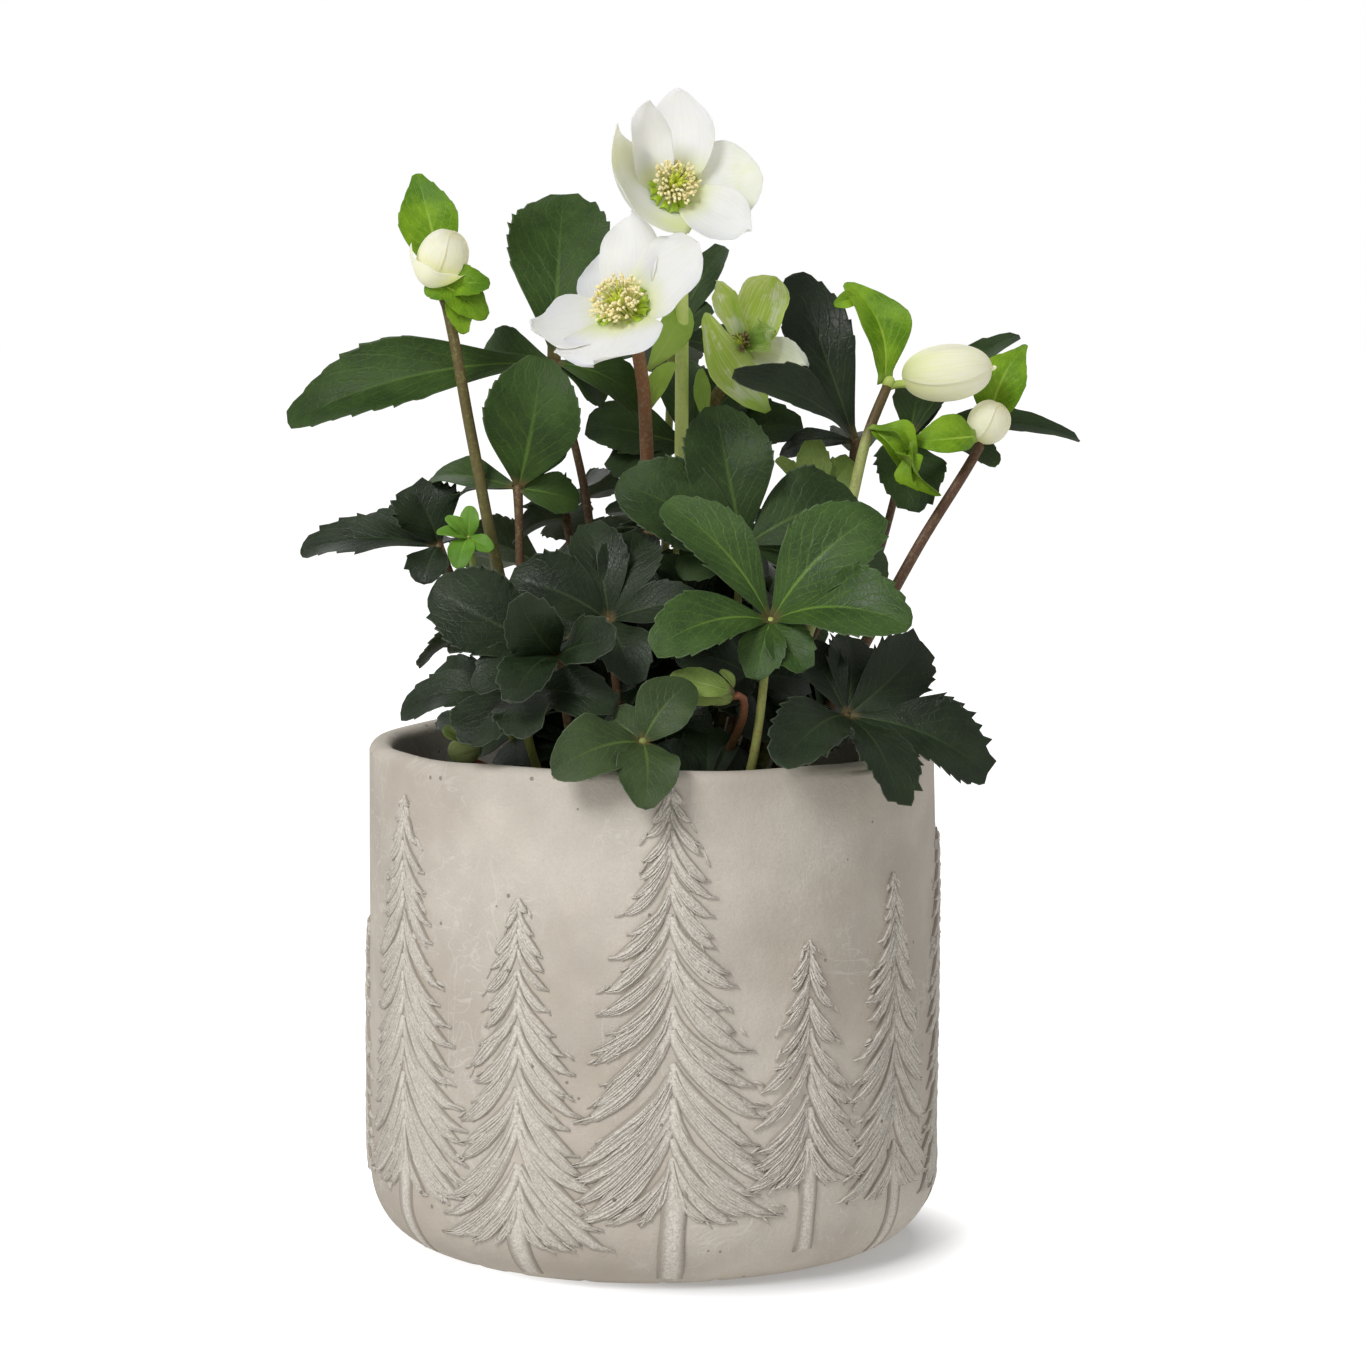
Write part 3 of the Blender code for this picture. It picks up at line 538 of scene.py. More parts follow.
def cement(name, relief):
    """Cast cement. On the relief the flanks of each stroke are painted dark, as shade and grime in
    the grooves, and its crest paler, as wear and a painted highlight. Inside the pot the wall is
    painted dark below the rim as shade, and the air holes are painted dark as the shade in them.
    """
    made, tree, clouds, grain = new_finish(name, 16, 620)
    patches, fine = mottling(tree, 48, 1500)
    cast = place(tree, "ShaderNodeGroup", {"Hole Scale": 300}, node_tree=marks).outputs
    lengthwise, across = surface_place(tree)
    tone = blend(clouds, (0.47, 0.412, 0.34), (0.67, 0.612, 0.535))
    tone = blend(times(patches, 0.4), tone, (0.47, 0.43, 0.385))
    tone = blend(ramp(fine, 0.35, 0.65, 0, 0.16), tone, (0.4, 0.36, 0.31))
    tone = blend(times(cast["Scratches"], 0.4), tone, (0.72, 0.68, 0.61))
    if relief:
        # Painted shade and grime: the whole relief is darkened so that its flanks read dark. The crest is
        # painted paler, as rubbed wear and a painted highlight.
        crest = ramp(sums("ABSOLUTE", sums("SUBTRACT", across, 0.5)), 0.1, 0.46, 1, 0)
        pale = times(crest, ramp(fine, 0.38, 0.62, 0.55, 1))
        tone = blend(pale, blend(0.66, tone, (0.25, 0.215, 0.175)), (0.74, 0.695, 0.625))
    else:
        # Painted shade: the inner wall and floor of the pot are darkened from just below the rim down
        inside = times(ramp(lengthwise, rim_place, rim_place + 0.06), 0.8)
        tone = blend(inside, tone, (0.075, 0.062, 0.05))
    # Painted shade: the air holes are darkened as the shade in them
    tone = blend(times(cast["Holes"], 0.75), tone, (0.2, 0.17, 0.14))
    height = sums("SUBTRACT", sums("ADD", grain, times(fine, 0.35)), cast["Holes"])
    height = sums("SUBTRACT", height, times(cast["Scratches"], 0.25))
    roughness = ramp(clouds, 0, 1, 0.7, 0.86)
    return dress(made, tone, roughness, height, 0.4, 0.0009 if relief else 0.0006, shine=0.35)


make_piece("cover_pot", [pot_patch], [cement("cast_cement", relief=False)], "cement_pot")
relief_cement = cement("cast_cement_relief", relief=True)
for half, patches in fir_patches.items():
    make_piece(f"cover_pot_{half}_firs", patches, [relief_cement], "cement_pot")

# ---------------------------------------------------------------------------------------------
# Grow pot
# The thin black plastic nursery pot that the plant was raised in, with a rolled lip and shallow
# ribs pressed into its side. It stands loose on the floor of the cover pot.

GROW_TOP_RADIUS = 0.061
GROW_FOOT_RADIUS = 0.048
GROW_WALL = 0.0012
GROW_LIP = 0.0022
GROW_RIM_Z = 0.122
GROW_FLOOR = POT_FLOOR + 0.0003
GROW_SHOULDER = GROW_RIM_Z - 0.006
GROW_SIDES = 128
GROW_RIBS, GROW_RIB_PROUD = 16, 0.0004

inner_top, inner_foot = GROW_TOP_RADIUS - GROW_WALL, GROW_FOOT_RADIUS - GROW_WALL
outline = [(AXIS_GAP, GROW_FLOOR), (GROW_FOOT_RADIUS - 0.002, GROW_FLOOR)]
ribs_from = len(outline)
outline.append((GROW_FOOT_RADIUS, GROW_FLOOR + 0.0015))
for share in np.linspace(0.06, 0.94, 9):
    radius = GROW_FOOT_RADIUS + (GROW_TOP_RADIUS - GROW_FOOT_RADIUS) * share
    outline.append((radius, GROW_FLOOR + (GROW_SHOULDER - GROW_FLOOR) * share))
ribs_to = len(outline)
outline += [(GROW_TOP_RADIUS, GROW_SHOULDER), (GROW_TOP_RADIUS + GROW_LIP * 0.8, GROW_SHOULDER - 0.0002)]
outline += arc(GROW_TOP_RADIUS + GROW_LIP * 0.2, GROW_RIM_Z - 0.003, GROW_LIP * 0.8, 0.003, -80, 90, 8)
outline += [(inner_top + 0.0004, GROW_RIM_Z - 0.0003), (inner_top, GROW_RIM_Z - 0.001)]
outline += [(inner_top - 0.0006, 0.116), (inner_top - 0.003, 0.09)]
outline += [(inner_foot, GROW_FLOOR + GROW_WALL), (AXIS_GAP, GROW_FLOOR + GROW_WALL)]
turn = circle(GROW_SIDES)
ribs = GROW_RIB_PROUD * np.cos(GROW_RIBS * turn)
rings = [
    level_ring(radius + ribs * (ribs_from <= index < ribs_to), turn, height)
    for index, (radius, height) in enumerate(outline)
]
made, tree, clouds, grain = new_finish("pressed_black_plastic", 60, 900)
tone = blend(times(clouds, 0.5), (0.012, 0.012, 0.012), (0.035, 0.028, 0.02))
black_plastic = dress(made, tone, ramp(clouds, 0, 1, 0.35, 0.6), grain, 0.15, 0.0003)
make_piece("nursery_pot", [loft(np.stack(rings))], [black_plastic], "grow_pot")

# ---------------------------------------------------------------------------------------------
# Potting soil
# Dark damp peat that fills the grow pot and is mounded a little round the plant, with loose
# crumbs and bits of bark on top.

SOIL_Z = 0.112
SOIL_MOUND = 0.002
SOIL_RADIUS = 0.058
SOIL_SIDES = 112
SOIL_LUMPS, SOIL_LUMP_HEIGHT = 16, 0.00042
SOIL_CRUMBS = 260

foot_z = GROW_FLOOR + GROW_WALL + 0.0003
turn = circle(SOIL_SIDES)
outline = [(AXIS_GAP, foot_z), (inner_foot - 0.0006, foot_z), (SOIL_RADIUS - 0.0006, SOIL_Z - 0.006)]
top_from = len(outline)
outline += [(SOIL_RADIUS * share, SOIL_Z + SOIL_MOUND * (1 - share)) for share in np.linspace(1, 0.012, 34)]
lumpy = random.Random(5)
ranges = ((60, 320), (0, 2 * math.pi), (0, 2 * math.pi), (0.4, 1))
lumps = [[lumpy.uniform(*between) for between in ranges] for _ in range(SOIL_LUMPS)]
rings = []
for index, (radius, height) in enumerate(outline):
    x, y = radius * np.cos(turn), radius * np.sin(turn)
    rough = np.zeros(SOIL_SIDES)
    for pitch, way, start, share in lumps if index >= top_from else ():
        rough = rough + share * np.sin(pitch * (x * math.cos(way) + y * math.sin(way)) + start)
    rings.append(np.stack([x, y, height + rough * SOIL_LUMP_HEIGHT], axis=-1))
soil_patches = [loft(np.stack(rings))]


def upright(axis):
    """Two directions square to an axis and to each other, which with it make a right-handed frame."""
    axis = np.asarray(axis, float) / np.linalg.norm(axis)
    side = np.cross((0.31, 0.87, 0.22), axis)
    side /= np.linalg.norm(side)
    return side, np.cross(axis, side), axis


def ring_round(centre, side, over, reach, turn):
    """Points round a centre, in the plane of two directions."""
    return centre + side * (reach * np.cos(turn))[:, None] + over * (reach * np.sin(turn))[:, None]


def ovoid(centre, axis, length, diameter, rows=6, sides=8, fat=0, kind=0, lumps=0, seed=0):
    """A closed egg shape along an axis. fat moves its widest place to the base, and lumps roughen it."""
    side, over, axis = upright(axis)
    hand = np.random.default_rng(seed)
    rings = []
    for tilt in np.linspace(0.04, np.pi - 0.04, rows):
        reach = math.sin(tilt) ** 0.9 * (1 + fat * math.cos(tilt)) * diameter / 2
        reach = reach * (1 + lumps * hand.uniform(-1, 1, sides))
        middle = np.asarray(centre) + axis * (-math.cos(tilt) * length / 2)
        rings.append(ring_round(middle, side, over, reach, circle(sides)))
    return loft(np.stack(rings), kinds=kind)


for number in range(SOIL_CRUMBS):
    reach, way = SOIL_RADIUS * 0.96 * math.sqrt(lumpy.random()), lumpy.uniform(0, 2 * math.pi)
    size = lumpy.uniform(0.0012, 0.004)
    level = SOIL_Z + SOIL_MOUND * (1 - reach / SOIL_RADIUS) + size * 0.18
    spot = (reach * math.cos(way), reach * math.sin(way), level)
    lay = (lumpy.uniform(-1, 1), lumpy.uniform(-1, 1), lumpy.uniform(-0.4, 0.4))
    shape = {"rows": 5, "sides": 6, "lumps": 0.28, "seed": number, "kind": number % 5 == 0}
    soil_patches.append(ovoid(spot, lay, size * lumpy.uniform(1, 1.9), size, **shape))


def earth(name, dark, light):
    """Damp peat or bark, grainy and without gloss."""
    made, _, clouds, grain = new_finish(name, 240, 1300)
    roughness = ramp(grain, 0.3, 0.7, 0.8, 0.98)
    return dress(made, blend(clouds, dark, light), roughness, grain, 0.8, 0.0008, shine=0.2)


peat = earth("damp_peat", (0.01, 0.007, 0.005), (0.05, 0.034, 0.022))
bark = earth("bark_bits", (0.04, 0.024, 0.014), (0.13, 0.08, 0.045))
make_piece("peat", soil_patches, [peat, bark], "soil")

# ---------------------------------------------------------------------------------------------
# Leaves
# Leathery evergreen leaves. Each is one grown piece: a round stalk from the soil, and three to six
# toothed leaflets that spread like fingers from its top. The midrib is sunk into the upper face
# and stands out below. The outer half of each leaflet is toothed, and its margin is painted paler
# as a highlight where the light catches the edge.

STALK_RADIUS = 0.0015
LEAF_THICKNESS = 0.00055
LEAFLET_FULLER = 1.06
SPROUT_Z = SOIL_Z + SOIL_MOUND + 0.0006
ROOTED = 0.004
LEAST_HALF = 0.0004
TOOTHED_FROM = 0.46
ACROSS_LEAF = (1, 0.955, 0.86, 0.7, 0.5, 0.3, 0.12, 0)
USUAL = ("deep", "green_stalk", 1.45, 0.8)

# Each leaf: its finish and its stalk's, how blunt the leaflets are and how deep their teeth go,
# joint of the leaflets, the way the leaf faces, stalk foot (x, y), one point on the stalk, then
# for each leaflet its tip, its width and, where it is rolled about its midrib, the roll in degrees
LEAVES = {
    "leaf_front": (
        ("fresh", "pale_stalk", 1.45, 0.75), (34.5, -48, 189), (0.05, -0.8, 0.6), (17, -19), (28.8, -47, 146),
        (5, -46, 224, 18), (65, -48, 221, 22), (73, -72, 191, 21), (1, -70, 184, 18), (30, -64, 175, 12),
        (44, -62, 177, 12),
    ),
    "leaf_middle": (
        ("deep", "green_stalk", 1.35, 0.45), (27, -26, 209), (-0.05, -0.85, 0.5), (11, -10), (22, -20, 165),
        (19, -18, 250, 24), (-9, -34, 229, 25), (60, -18, 224, 23), (8, -36, 202, 12), (71, -8, 200, 18, 20),
    ),
    "leaf_left_front": (
        ("shaded", "brown_stalk", 1.45, 0.75), (-26, -60, 180), (-0.25, -0.8, 0.55), (-12, -21),
        (-22, -50, 150),
        (-62, -60, 200, 22), (-37, -75, 198, 15, -15), (-49, -76, 174, 13), (-38, -87, 171, 14),
        (-10, -80, 187, 14),
    ),
    "leaf_left_inner": (
        ("shaded", "brown_stalk", 1.4, 0.7), (-12, -46, 189), (0, -0.85, 0.5), (-3, -18), (-9, -36, 160),
        (-40, -48, 202, 19), (-18, -36, 217, 15), (-1, -36, 214, 16), (-4, -68, 174, 14), (14, -52, 196, 12),
    ),
    "leaf_left_low": (
        ("shaded", "green_stalk", 1.4, 0.9), (-38, -58, 169), (-0.3, -0.7, 0.65), (-18, -15), (-32, -46, 144),
        (-72, -56, 165, 13), (-64, -44, 173, 13), (-50, -76, 157, 20), (-33, -83, 161, 15),
        (-10, -72, 168, 13),
    ),
    "leaf_over_rim": (
        ("over_rim", "green_stalk", 1.12, 0.15), (-2, -76, 157.5), (0, -0.88, 0.48), (0, -25), (-2, -56, 142),
        (-26.5, -93, 152, 17), (-1, -97, 142.5, 16), (11.5, -72, 174.5, 15), (-11.5, -68, 165, 11),
    ),
    "leaf_right_low": (
        ("shaded", "brown_stalk", 1.5, 1.25), (56, -51, 162), (0.35, -0.75, 0.55), (22, -12), (44, -36, 146),
        (79, -40, 183, 17), (97, -56, 147, 21), (70, -81, 142, 18), (36.5, -88, 154, 18, 22),
        (58, -38, 184, 15), (45, -44, 182, 12),
    ),
    "leaf_left_tall": (
        ("tall", "brown_stalk", 1.55, 0.7), (-29, -2, 262), (-0.1, -0.85, 0.52), (-9, 1), (-19, -2, 218),
        (-108, -10, 247, 21), (-52, 16, 266, 13), (-26.5, 16, 313, 28), (-1, 0, 249, 13), (-13, 10, 251, 12),
    ),
    "leaf_left_mid": (
        ("tall", "brown_stalk", 1.25, 0.45), (-39, -24, 226), (-0.1, -0.92, 0.35), (-18, -8), (-37, -22, 190),
        (-32, -30, 264, 26), (-26, -16, 246, 10, 50), (-21, -20, 222, 11), (-66, -4, 229, 11, 30),
        (-61, 4, 220, 11, 30),
    ),
    "leaf_left_side": (
        ("shaded", "brown_stalk", 1.45, 1.2), (-63, -10, 208), (-0.2, -0.6, 0.75), (-24, 0), (-52, -7, 180),
        (-104, -12, 209, 13), (-71, -12, 226, 18), (-88, 4, 214, 12), (-67, -20, 198, 11),
        (-56, 12, 206, 14),
    ),
    "leaf_right_tall": (
        ("shaded", "brown_stalk", 1.5, 0.5), (61, 9, 238), (-0.1, -0.85, 0.5), (18, 4), (56, 9, 200),
        (43, 17, 289, 18), (26, -24, 260, 14, 25), (38, 16, 235, 9, 20), (63, 42, 236, 15),
    ),
    "leaf_right_side": (
        ("deep", "brown_stalk", 1.18, 0.8), (78, 24, 238), (0.2, -0.6, 0.77), (25, 8), (66, 20, 196),
        (131, 32, 239.5, 10.8), (112.5, 44, 271.5, 7.8), (82, 36, 255, 13), (104.5, 12, 232.5, 17),
        (77, 4, 218.5, 19),
    ),
    "leaf_inner_right": (
        USUAL, (12, 26, 236), (0, -0.8, 0.6), (6, 12), (10, 22, 190),
        (-20, 24, 243, 16), (9, 38, 262, 15), (32, 32, 258, 17), (45, 20, 244, 15), (-13, 18, 229, 14),
    ),
    "leaf_inner_tall": (
        USUAL, (6, 44, 268), (0, -0.7, 0.7), (3, 21), (4, 36, 210),
        (21.2, 50, 297.5, 10.5), (17.6, 40, 278.5, 9.5), (-20, 62, 262, 18), (34, 70, 256, 18),
        (6, 78, 256, 20),
    ),
    "leaf_back_left": (
        USUAL, (-34, 48, 198), (-0.2, 0.6, 0.78), (-12, 18), (-26, 38, 164),
        (-60, 30, 208, 18), (-56, 72, 196, 20), (-26, 84, 192, 22), (-6, 64, 206, 18), (-34, 60, 170, 14),
    ),
    "leaf_back_right": (
        USUAL, (44, 44, 192), (0.2, 0.6, 0.78), (16, 18), (34, 36, 160),
        (20, 70, 204, 18), (46, 84, 186, 22), (70, 64, 186, 20), (66, 30, 200, 17), (48, 56, 166, 14),
    ),
    "leaf_back_middle": (
        USUAL, (10, 56, 207), (0, 0.5, 0.85), (6, 24), (9, 46, 166),
        (-14, 62, 215, 17), (-6, 86, 208, 19), (20, 90, 204, 19), (34, 66, 213, 17),
    ),
    "leaf_back_side_left": (
        USUAL, (-44, 20, 180), (-0.3, 0.2, 0.93), (-20, 10), (-36, 17, 152),
        (-56, 0, 184, 15), (-72, 24, 170, 18), (-60, 42, 172, 17), (-40, 44, 182, 14),
    ),
    "leaf_back_side_right": (
        USUAL, (47, 28, 163), (0.3, 0.2, 0.93), (24, 15), (40, 24, 143),
        (74, 22, 156, 14), (78, 38, 160, 16), (68, 50, 159, 17), (44, 52, 164, 14),
    ),
    "leaf_back_low": (
        USUAL, (6, 70, 163), (0, 0.7, 0.7), (3, 30), (5, 56, 140),
        (-28, 80, 168, 18), (-14, 104, 150, 20), (22, 104, 150, 20), (36, 80, 168, 18),
    ),
    "young_leaf_left": (
        ("sprig", "young_stalk", 1.08, 0.25), (-53, -33, 212), (-0.1, -0.8, 0.6), (-29, -12), (-47, -30, 176),
        (-59, -36, 218.5, 3.6), (-52.5, -33, 221.5, 4.8), (-61.8, -38, 214.2, 3.4), (-45.8, -38, 209, 4.6),
        (-55.8, -41, 204, 6.8),
    ),
    "young_leaf_right": (
        ("young", "young_stalk", 1.3, 0.8), (49, 2, 220), (0, -0.95, 0.3), (15, -3), (44, 1, 190),
        (38, 1, 234, 5, 30), (48, 3, 239, 9), (60, 3, 233, 10),
    ),
}


def smooth_path(points, count):
    """Points along one smooth curve through a few given ones."""
    points = [np.asarray(point, float) for point in points]
    gaps = [np.linalg.norm(after - before) for before, after in zip(points, points[1:])]
    marks = np.concatenate([[0], np.cumsum(gaps)])
    slopes = []
    for index in range(len(points)):
        before, after = max(index - 1, 0), min(index + 1, len(points) - 1)
        slopes.append((points[after] - points[before]) / (marks[after] - marks[before]))
    path = []
    for mark in np.linspace(0, marks[-1], count):
        index = min(int(np.searchsorted(marks, mark, side="right")) - 1, len(gaps) - 1)
        share, gap = (mark - marks[index]) / gaps[index], gaps[index]
        leaving = slopes[index] * gap * (share**3 - 2 * share**2 + share)
        coming = slopes[index + 1] * gap * (share**3 - share**2)
        spot = points[index] * (2 * share**3 - 3 * share**2 + 1) + leaving
        path.append(spot + points[index + 1] * (3 * share**2 - 2 * share**3) + coming)
    return np.array(path)


def stalk(path, radii, sides=12, kind=0, ribs=0.03):
    """A round stalk along a path, faintly ribbed, with its own radius at each point."""
    run = np.gradient(path, axis=0)
    run /= np.linalg.norm(run, axis=1)[:, None]
    side = upright(run[0])[0]
    turn = circle(sides)
    rings = []
    for point, forward, radius in zip(path, run, np.broadcast_to(radii, len(path))):
        side = side - forward * side.dot(forward)
        side = side / np.linalg.norm(side)
        reach = radius * (1 + ribs * np.cos(5 * turn))
        rings.append(ring_round(point, side, np.cross(forward, side), reach, turn))
    return loft(np.stack(rings), kinds=kind)


def rooted_stalk(foot, points, count, shares, swells, radius, **how):
    """A stalk out of the soil and through points. swells are shares of its radius along it."""
    path = smooth_path([(*foot, SPROUT_Z - ROOTED), *points], count)
    return stalk(path, np.interp(np.linspace(0, 1, count), shares, swells) * radius, **how)


def both_sides(steps):
    """Places across a blade from one margin over its middle to the other."""
    return np.array(steps + tuple(-step for step in steps[-2::-1]))


def ripples(along, side, heights, pitch, start):
    """Waves along the two margins of a blade, each with its own height, pitch and start."""
    turns = (2 * np.pi * count * along + first for count, first in zip(pitch, start))
    one, other = (height * np.sin(turn) for height, turn in zip(heights, turns))
    return np.where(side > 0, one, other) * side**2


def blade(ends, facing, roll, width, share, rows, push, bend, thick, across=ACROSS_LEAF, kinds=(0, 1), bow=0):
    """A thin curved blade between two ends. share is its half width along its length, push moves
    its margins out, bend(along, side) lifts it off the plane it faces, and bow curves it sideways."""
    base, tip = ends
    forward = np.subtract(tip, base)
    length = np.linalg.norm(forward)
    forward /= length
    flat = np.cross(facing, forward)
    flat /= np.linalg.norm(flat)
    up = np.cross(forward, flat)
    lean = math.radians(roll)
    sideways, out = flat * math.cos(lean) + up * math.sin(lean), up * math.cos(lean) - flat * math.sin(lean)
    over = both_sides(across)
    along, side = rows[:, None], over[None, :]
    hem = np.clip((np.abs(side) - 0.8) / 0.2, 0, 1)
    shove = np.where(side > 0, push[:, :1], push[:, 1:]) * hem
    y = side * (width / 2 * share[:, None] + LEAST_HALF) + np.sign(side) * shove
    y = y + bow * length * 4 * along * (1 - along)
    x = length * along + shove * 0.9 + 0 * side
    z = bend(along, side)
    half_thick = thick * (1 - 0.55 * np.abs(side) ** 3) / 2

    def put(level):
        return np.asarray(base) + x[..., None] * forward + y[..., None] * sideways + level[..., None] * out

    rings = np.concatenate([put(z + half_thick), put(z - half_thick)[:, ::-1]], axis=1)
    marks = np.concatenate([(over + 1) / 2, (over[::-1] + 1) / 2, [(over[0] + 1) / 2]])
    faces = [kinds[0]] * len(over) + [kinds[1]] * (len(over) - 1) + [kinds[0]]
    return loft(rings, rows, marks, faces)


def leaflet(
    base, tip, facing, roll, width, blunt, teeth, hand, kinds=(0, 1), droop=0.05, bow=None, foot=0.11,
    fold=None, pointed=0,
):
    """One leaflet: narrow at its foot, widest beyond the middle, toothed in its outer half."""
    count = max(3, min(8, int(width * 330)))
    pitch = (1 - TOOTHED_FROM) / count
    made = [(share, 0) for share in np.linspace(0, TOOTHED_FROM, 11, endpoint=False)]
    for notch in TOOTHED_FROM + pitch * np.arange(count):
        made += [(notch, 0), (notch + pitch * 0.45, 0.55), (notch + pitch * 0.82, 1)]
    rows, tooth = np.array(made + [(1, 0)]).T
    length = float(np.linalg.norm(np.subtract(tip, base)))
    tip_half = rows > 0.5 ** (1 / blunt)
    share = np.clip(np.sin(np.pi * rows**blunt), 0, 1) ** np.where(tip_half, 0.56, 0.8)
    share = share * (1 - pointed * np.clip((rows - 0.55) / 0.45, 0, 1) ** 1.3)
    share = np.maximum(share, foot * (rows < 0.5))
    bow = hand.uniform(-0.045, 0.045) if bow is None else bow
    depth = 0.00115 * teeth * min(1, width / 0.018)
    push = np.stack([tooth * depth * hand.uniform(0.15, 1.45, len(rows)) for _ in range(2)], axis=1)
    wave = width * 0.055 * hand.uniform(0.5, 1.3, 2)
    pitch, start = hand.uniform(1.2, 2.2, 2), hand.uniform(0, 6.3, 2)
    cup, crease = hand.uniform(0.07, 0.15), hand.uniform(0, 0.12)
    crease = crease if fold is None else fold
    sag, swing = droop * hand.uniform(0.4, 1.6), hand.uniform(-0.5, 0.5)

    def bend(along, side):
        lift = length * 0.1 * 4 * along * (1 - along) - length * sag * along**3
        open_share = np.interp(along, rows, share)
        lift = lift + width * (cup * side**2 + crease * np.abs(side)) * open_share**2
        lift = lift + ripples(along, side, wave, pitch, start) * open_share
        lift = lift + width * 0.05 * swing * side * along
        rib = np.exp(-((side * (width / 2 * open_share + LEAST_HALF)) / 0.0006) ** 2)
        return lift - 0.00032 * rib * (1 - along) ** 0.5

    shape = (width, share, rows, push, bend, LEAF_THICKNESS)
    return blade((base, tip), facing, roll, *shape, kinds=kinds, bow=bow)


# Leaf veins: the midrib, side veins that slant to the margin, the fine net between them, the margin
veins, entry, leave = new_group(
    "leaf_veins", {"Side Veins": 7, "Slant": 0.45}, ("Midrib", "Side", "Net", "Margin")
)
lengthwise, crosswise = surface_place(veins)
off = sums("ABSOLUTE", sums("MULTIPLY_ADD", crosswise, 2, -1))
middle = sums("DIVIDE", off, ramp(lengthwise, 0, 1, 0.11, 0.018))
veins.links.new(ramp(middle, 0.2, 1, 1, 0), leave["Midrib"])
waver = noise(veins, place(veins, "ShaderNodeUVMap", {}, uv_map="surface").outputs[0], 9, 2)
slanted = sums("SUBTRACT", lengthwise, times(off, entry["Slant"]))
slanted = sums("ADD", slanted, times(waver, 0.1))
stagger = times(sums("GREATER_THAN", crosswise, 0.5), 0.45)
beat = sums("FRACT", sums("ADD", times(slanted, entry["Side Veins"]), stagger))
vein = ramp(sums("ABSOLUTE", sums("SUBTRACT", beat, 0.5)), 0.02, 0.11, 1, 0)
veins.links.new(times(vein, ramp(off, 0.7, 0.98, 1, 0.15)), leave["Side"])
stretched = place(veins, "ShaderNodeCombineXYZ", {"X": times(lengthwise, 22), "Y": times(crosswise, 14)})
feeds = {"Vector": stretched.outputs[0], "Scale": 1}
net = place(veins, "ShaderNodeTexVoronoi", feeds, feature="DISTANCE_TO_EDGE").outputs["Distance"]
veins.links.new(ramp(net, 0, 0.1, 1, 0), leave["Net"])
veins.links.new(ramp(off, 0.955, 0.995), leave["Margin"])


def leaf_skin(name, dark, light, vein_colour, vein_share, margin, gloss, shine=0.34, foot=(0.13, 0.1, 0.04)):
    """Leathery leaf: two greens in clouds, paler veins, quilted between the veins. The margin is
    painted paler, as a highlight.
    """
    made, tree, clouds, grain = new_finish(name, 75, 1500)
    vein = place(tree, "ShaderNodeGroup", {"Side Veins": 7, "Slant": 0.45}, node_tree=veins).outputs
    lengthwise = surface_place(tree)[0]
    near_foot = ramp(lengthwise, 0.05, 0.8, 1, 0.3)
    tone = blend(clouds, dark, light)
    tone = blend(times(vein["Net"], vein_share * 0.13), tone, vein_colour)
    tone = blend(times(times(vein["Side"], near_foot), vein_share * 0.38), tone, vein_colour)
    rib = sums("MULTIPLY", times(vein["Midrib"], near_foot), vein_share, clamp=True)
    tone = blend(rib, tone, vein_colour)
    # Painted highlight: the margin is painted paler
    tone = blend(times(vein["Margin"], 0.55), tone, margin)
    tone = blend(ramp(lengthwise, 0.03, 0.12, 0.85, 0), tone, foot)
    height = sums("MULTIPLY_ADD", vein["Side"], -0.9, times(vein["Net"], -0.35))
    height = sums("MULTIPLY_ADD", grain, 0.3, height)
    return dress(made, tone, ramp(clouds, 0, 1, gloss, gloss + 0.12), height, 0.3, 0.0005, shine)


def stalk_skin(name, foot, top, speck, specks, change=(0.15, 0.95)):
    """A stalk that changes colour from foot to top, with fine streaks and specks."""
    made, tree, clouds, grain = new_finish(name, 130, 900)
    tone = blend(ramp(surface_place(tree)[0], *change), foot, top)
    share = times(ramp(grain, 0.5, 0.6), ramp(clouds, 0, 1, specks * 0.4, specks))
    return dress(made, blend(share, tone, speck), ramp(clouds, 0, 1, 0.42, 0.58), grain, 0.2, 0.0003, 0.26)


# Leaf finishes: dark green, light green, veins, how strong the veins are, the margin's painted
# highlight, gloss, shine
LEAF_COLOURS = {
    "fresh": (
        (0.024, 0.058, 0.01), (0.048, 0.098, 0.018), (0.15, 0.27, 0.035), 0.9, (0.12, 0.17, 0.08), 0.42, 0.3,
    ),
    "deep": (
        (0.017, 0.036, 0.009), (0.036, 0.068, 0.017), (0.1, 0.175, 0.035), 0.7, (0.11, 0.14, 0.085), 0.44,
        0.22,
    ),
    "tall": (
        (0.019, 0.044, 0.007), (0.038, 0.078, 0.013), (0.11, 0.2, 0.03), 0.7, (0.1, 0.14, 0.07), 0.44, 0.22,
    ),
    "shaded": (
        (0.007, 0.014, 0.005), (0.017, 0.031, 0.011), (0.06, 0.095, 0.03), 0.6, (0.085, 0.105, 0.065), 0.38,
        0.28,
    ),
    "over_rim": (
        (0.03, 0.052, 0.016), (0.05, 0.08, 0.026), (0.12, 0.2, 0.04), 0.7, (0.11, 0.15, 0.08), 0.44, 0.26,
    ),
    "young": ((0.13, 0.21, 0.03), (0.23, 0.32, 0.07), (0.48, 0.56, 0.2), 0.6, (0.38, 0.46, 0.15), 0.46),
    "sprig": ((0.075, 0.2, 0.01), (0.135, 0.3, 0.024), (0.3, 0.5, 0.08), 0.6, (0.2, 0.36, 0.06), 0.42),
}
leaf_skins = {kind: leaf_skin(f"{kind}_leaf", *row) for kind, row in LEAF_COLOURS.items()}
underside = leaf_skin(
    "leaf_underside", (0.06, 0.09, 0.04), (0.095, 0.13, 0.062), (0.18, 0.23, 0.1), 0.8,
    (0.12, 0.15, 0.08), 0.5,
)
young_underside = leaf_skin(
    "young_leaf_underside", (0.24, 0.34, 0.09), (0.33, 0.43, 0.14), (0.45, 0.52, 0.22), 0.7,
    (0.38, 0.46, 0.15), 0.5,
)
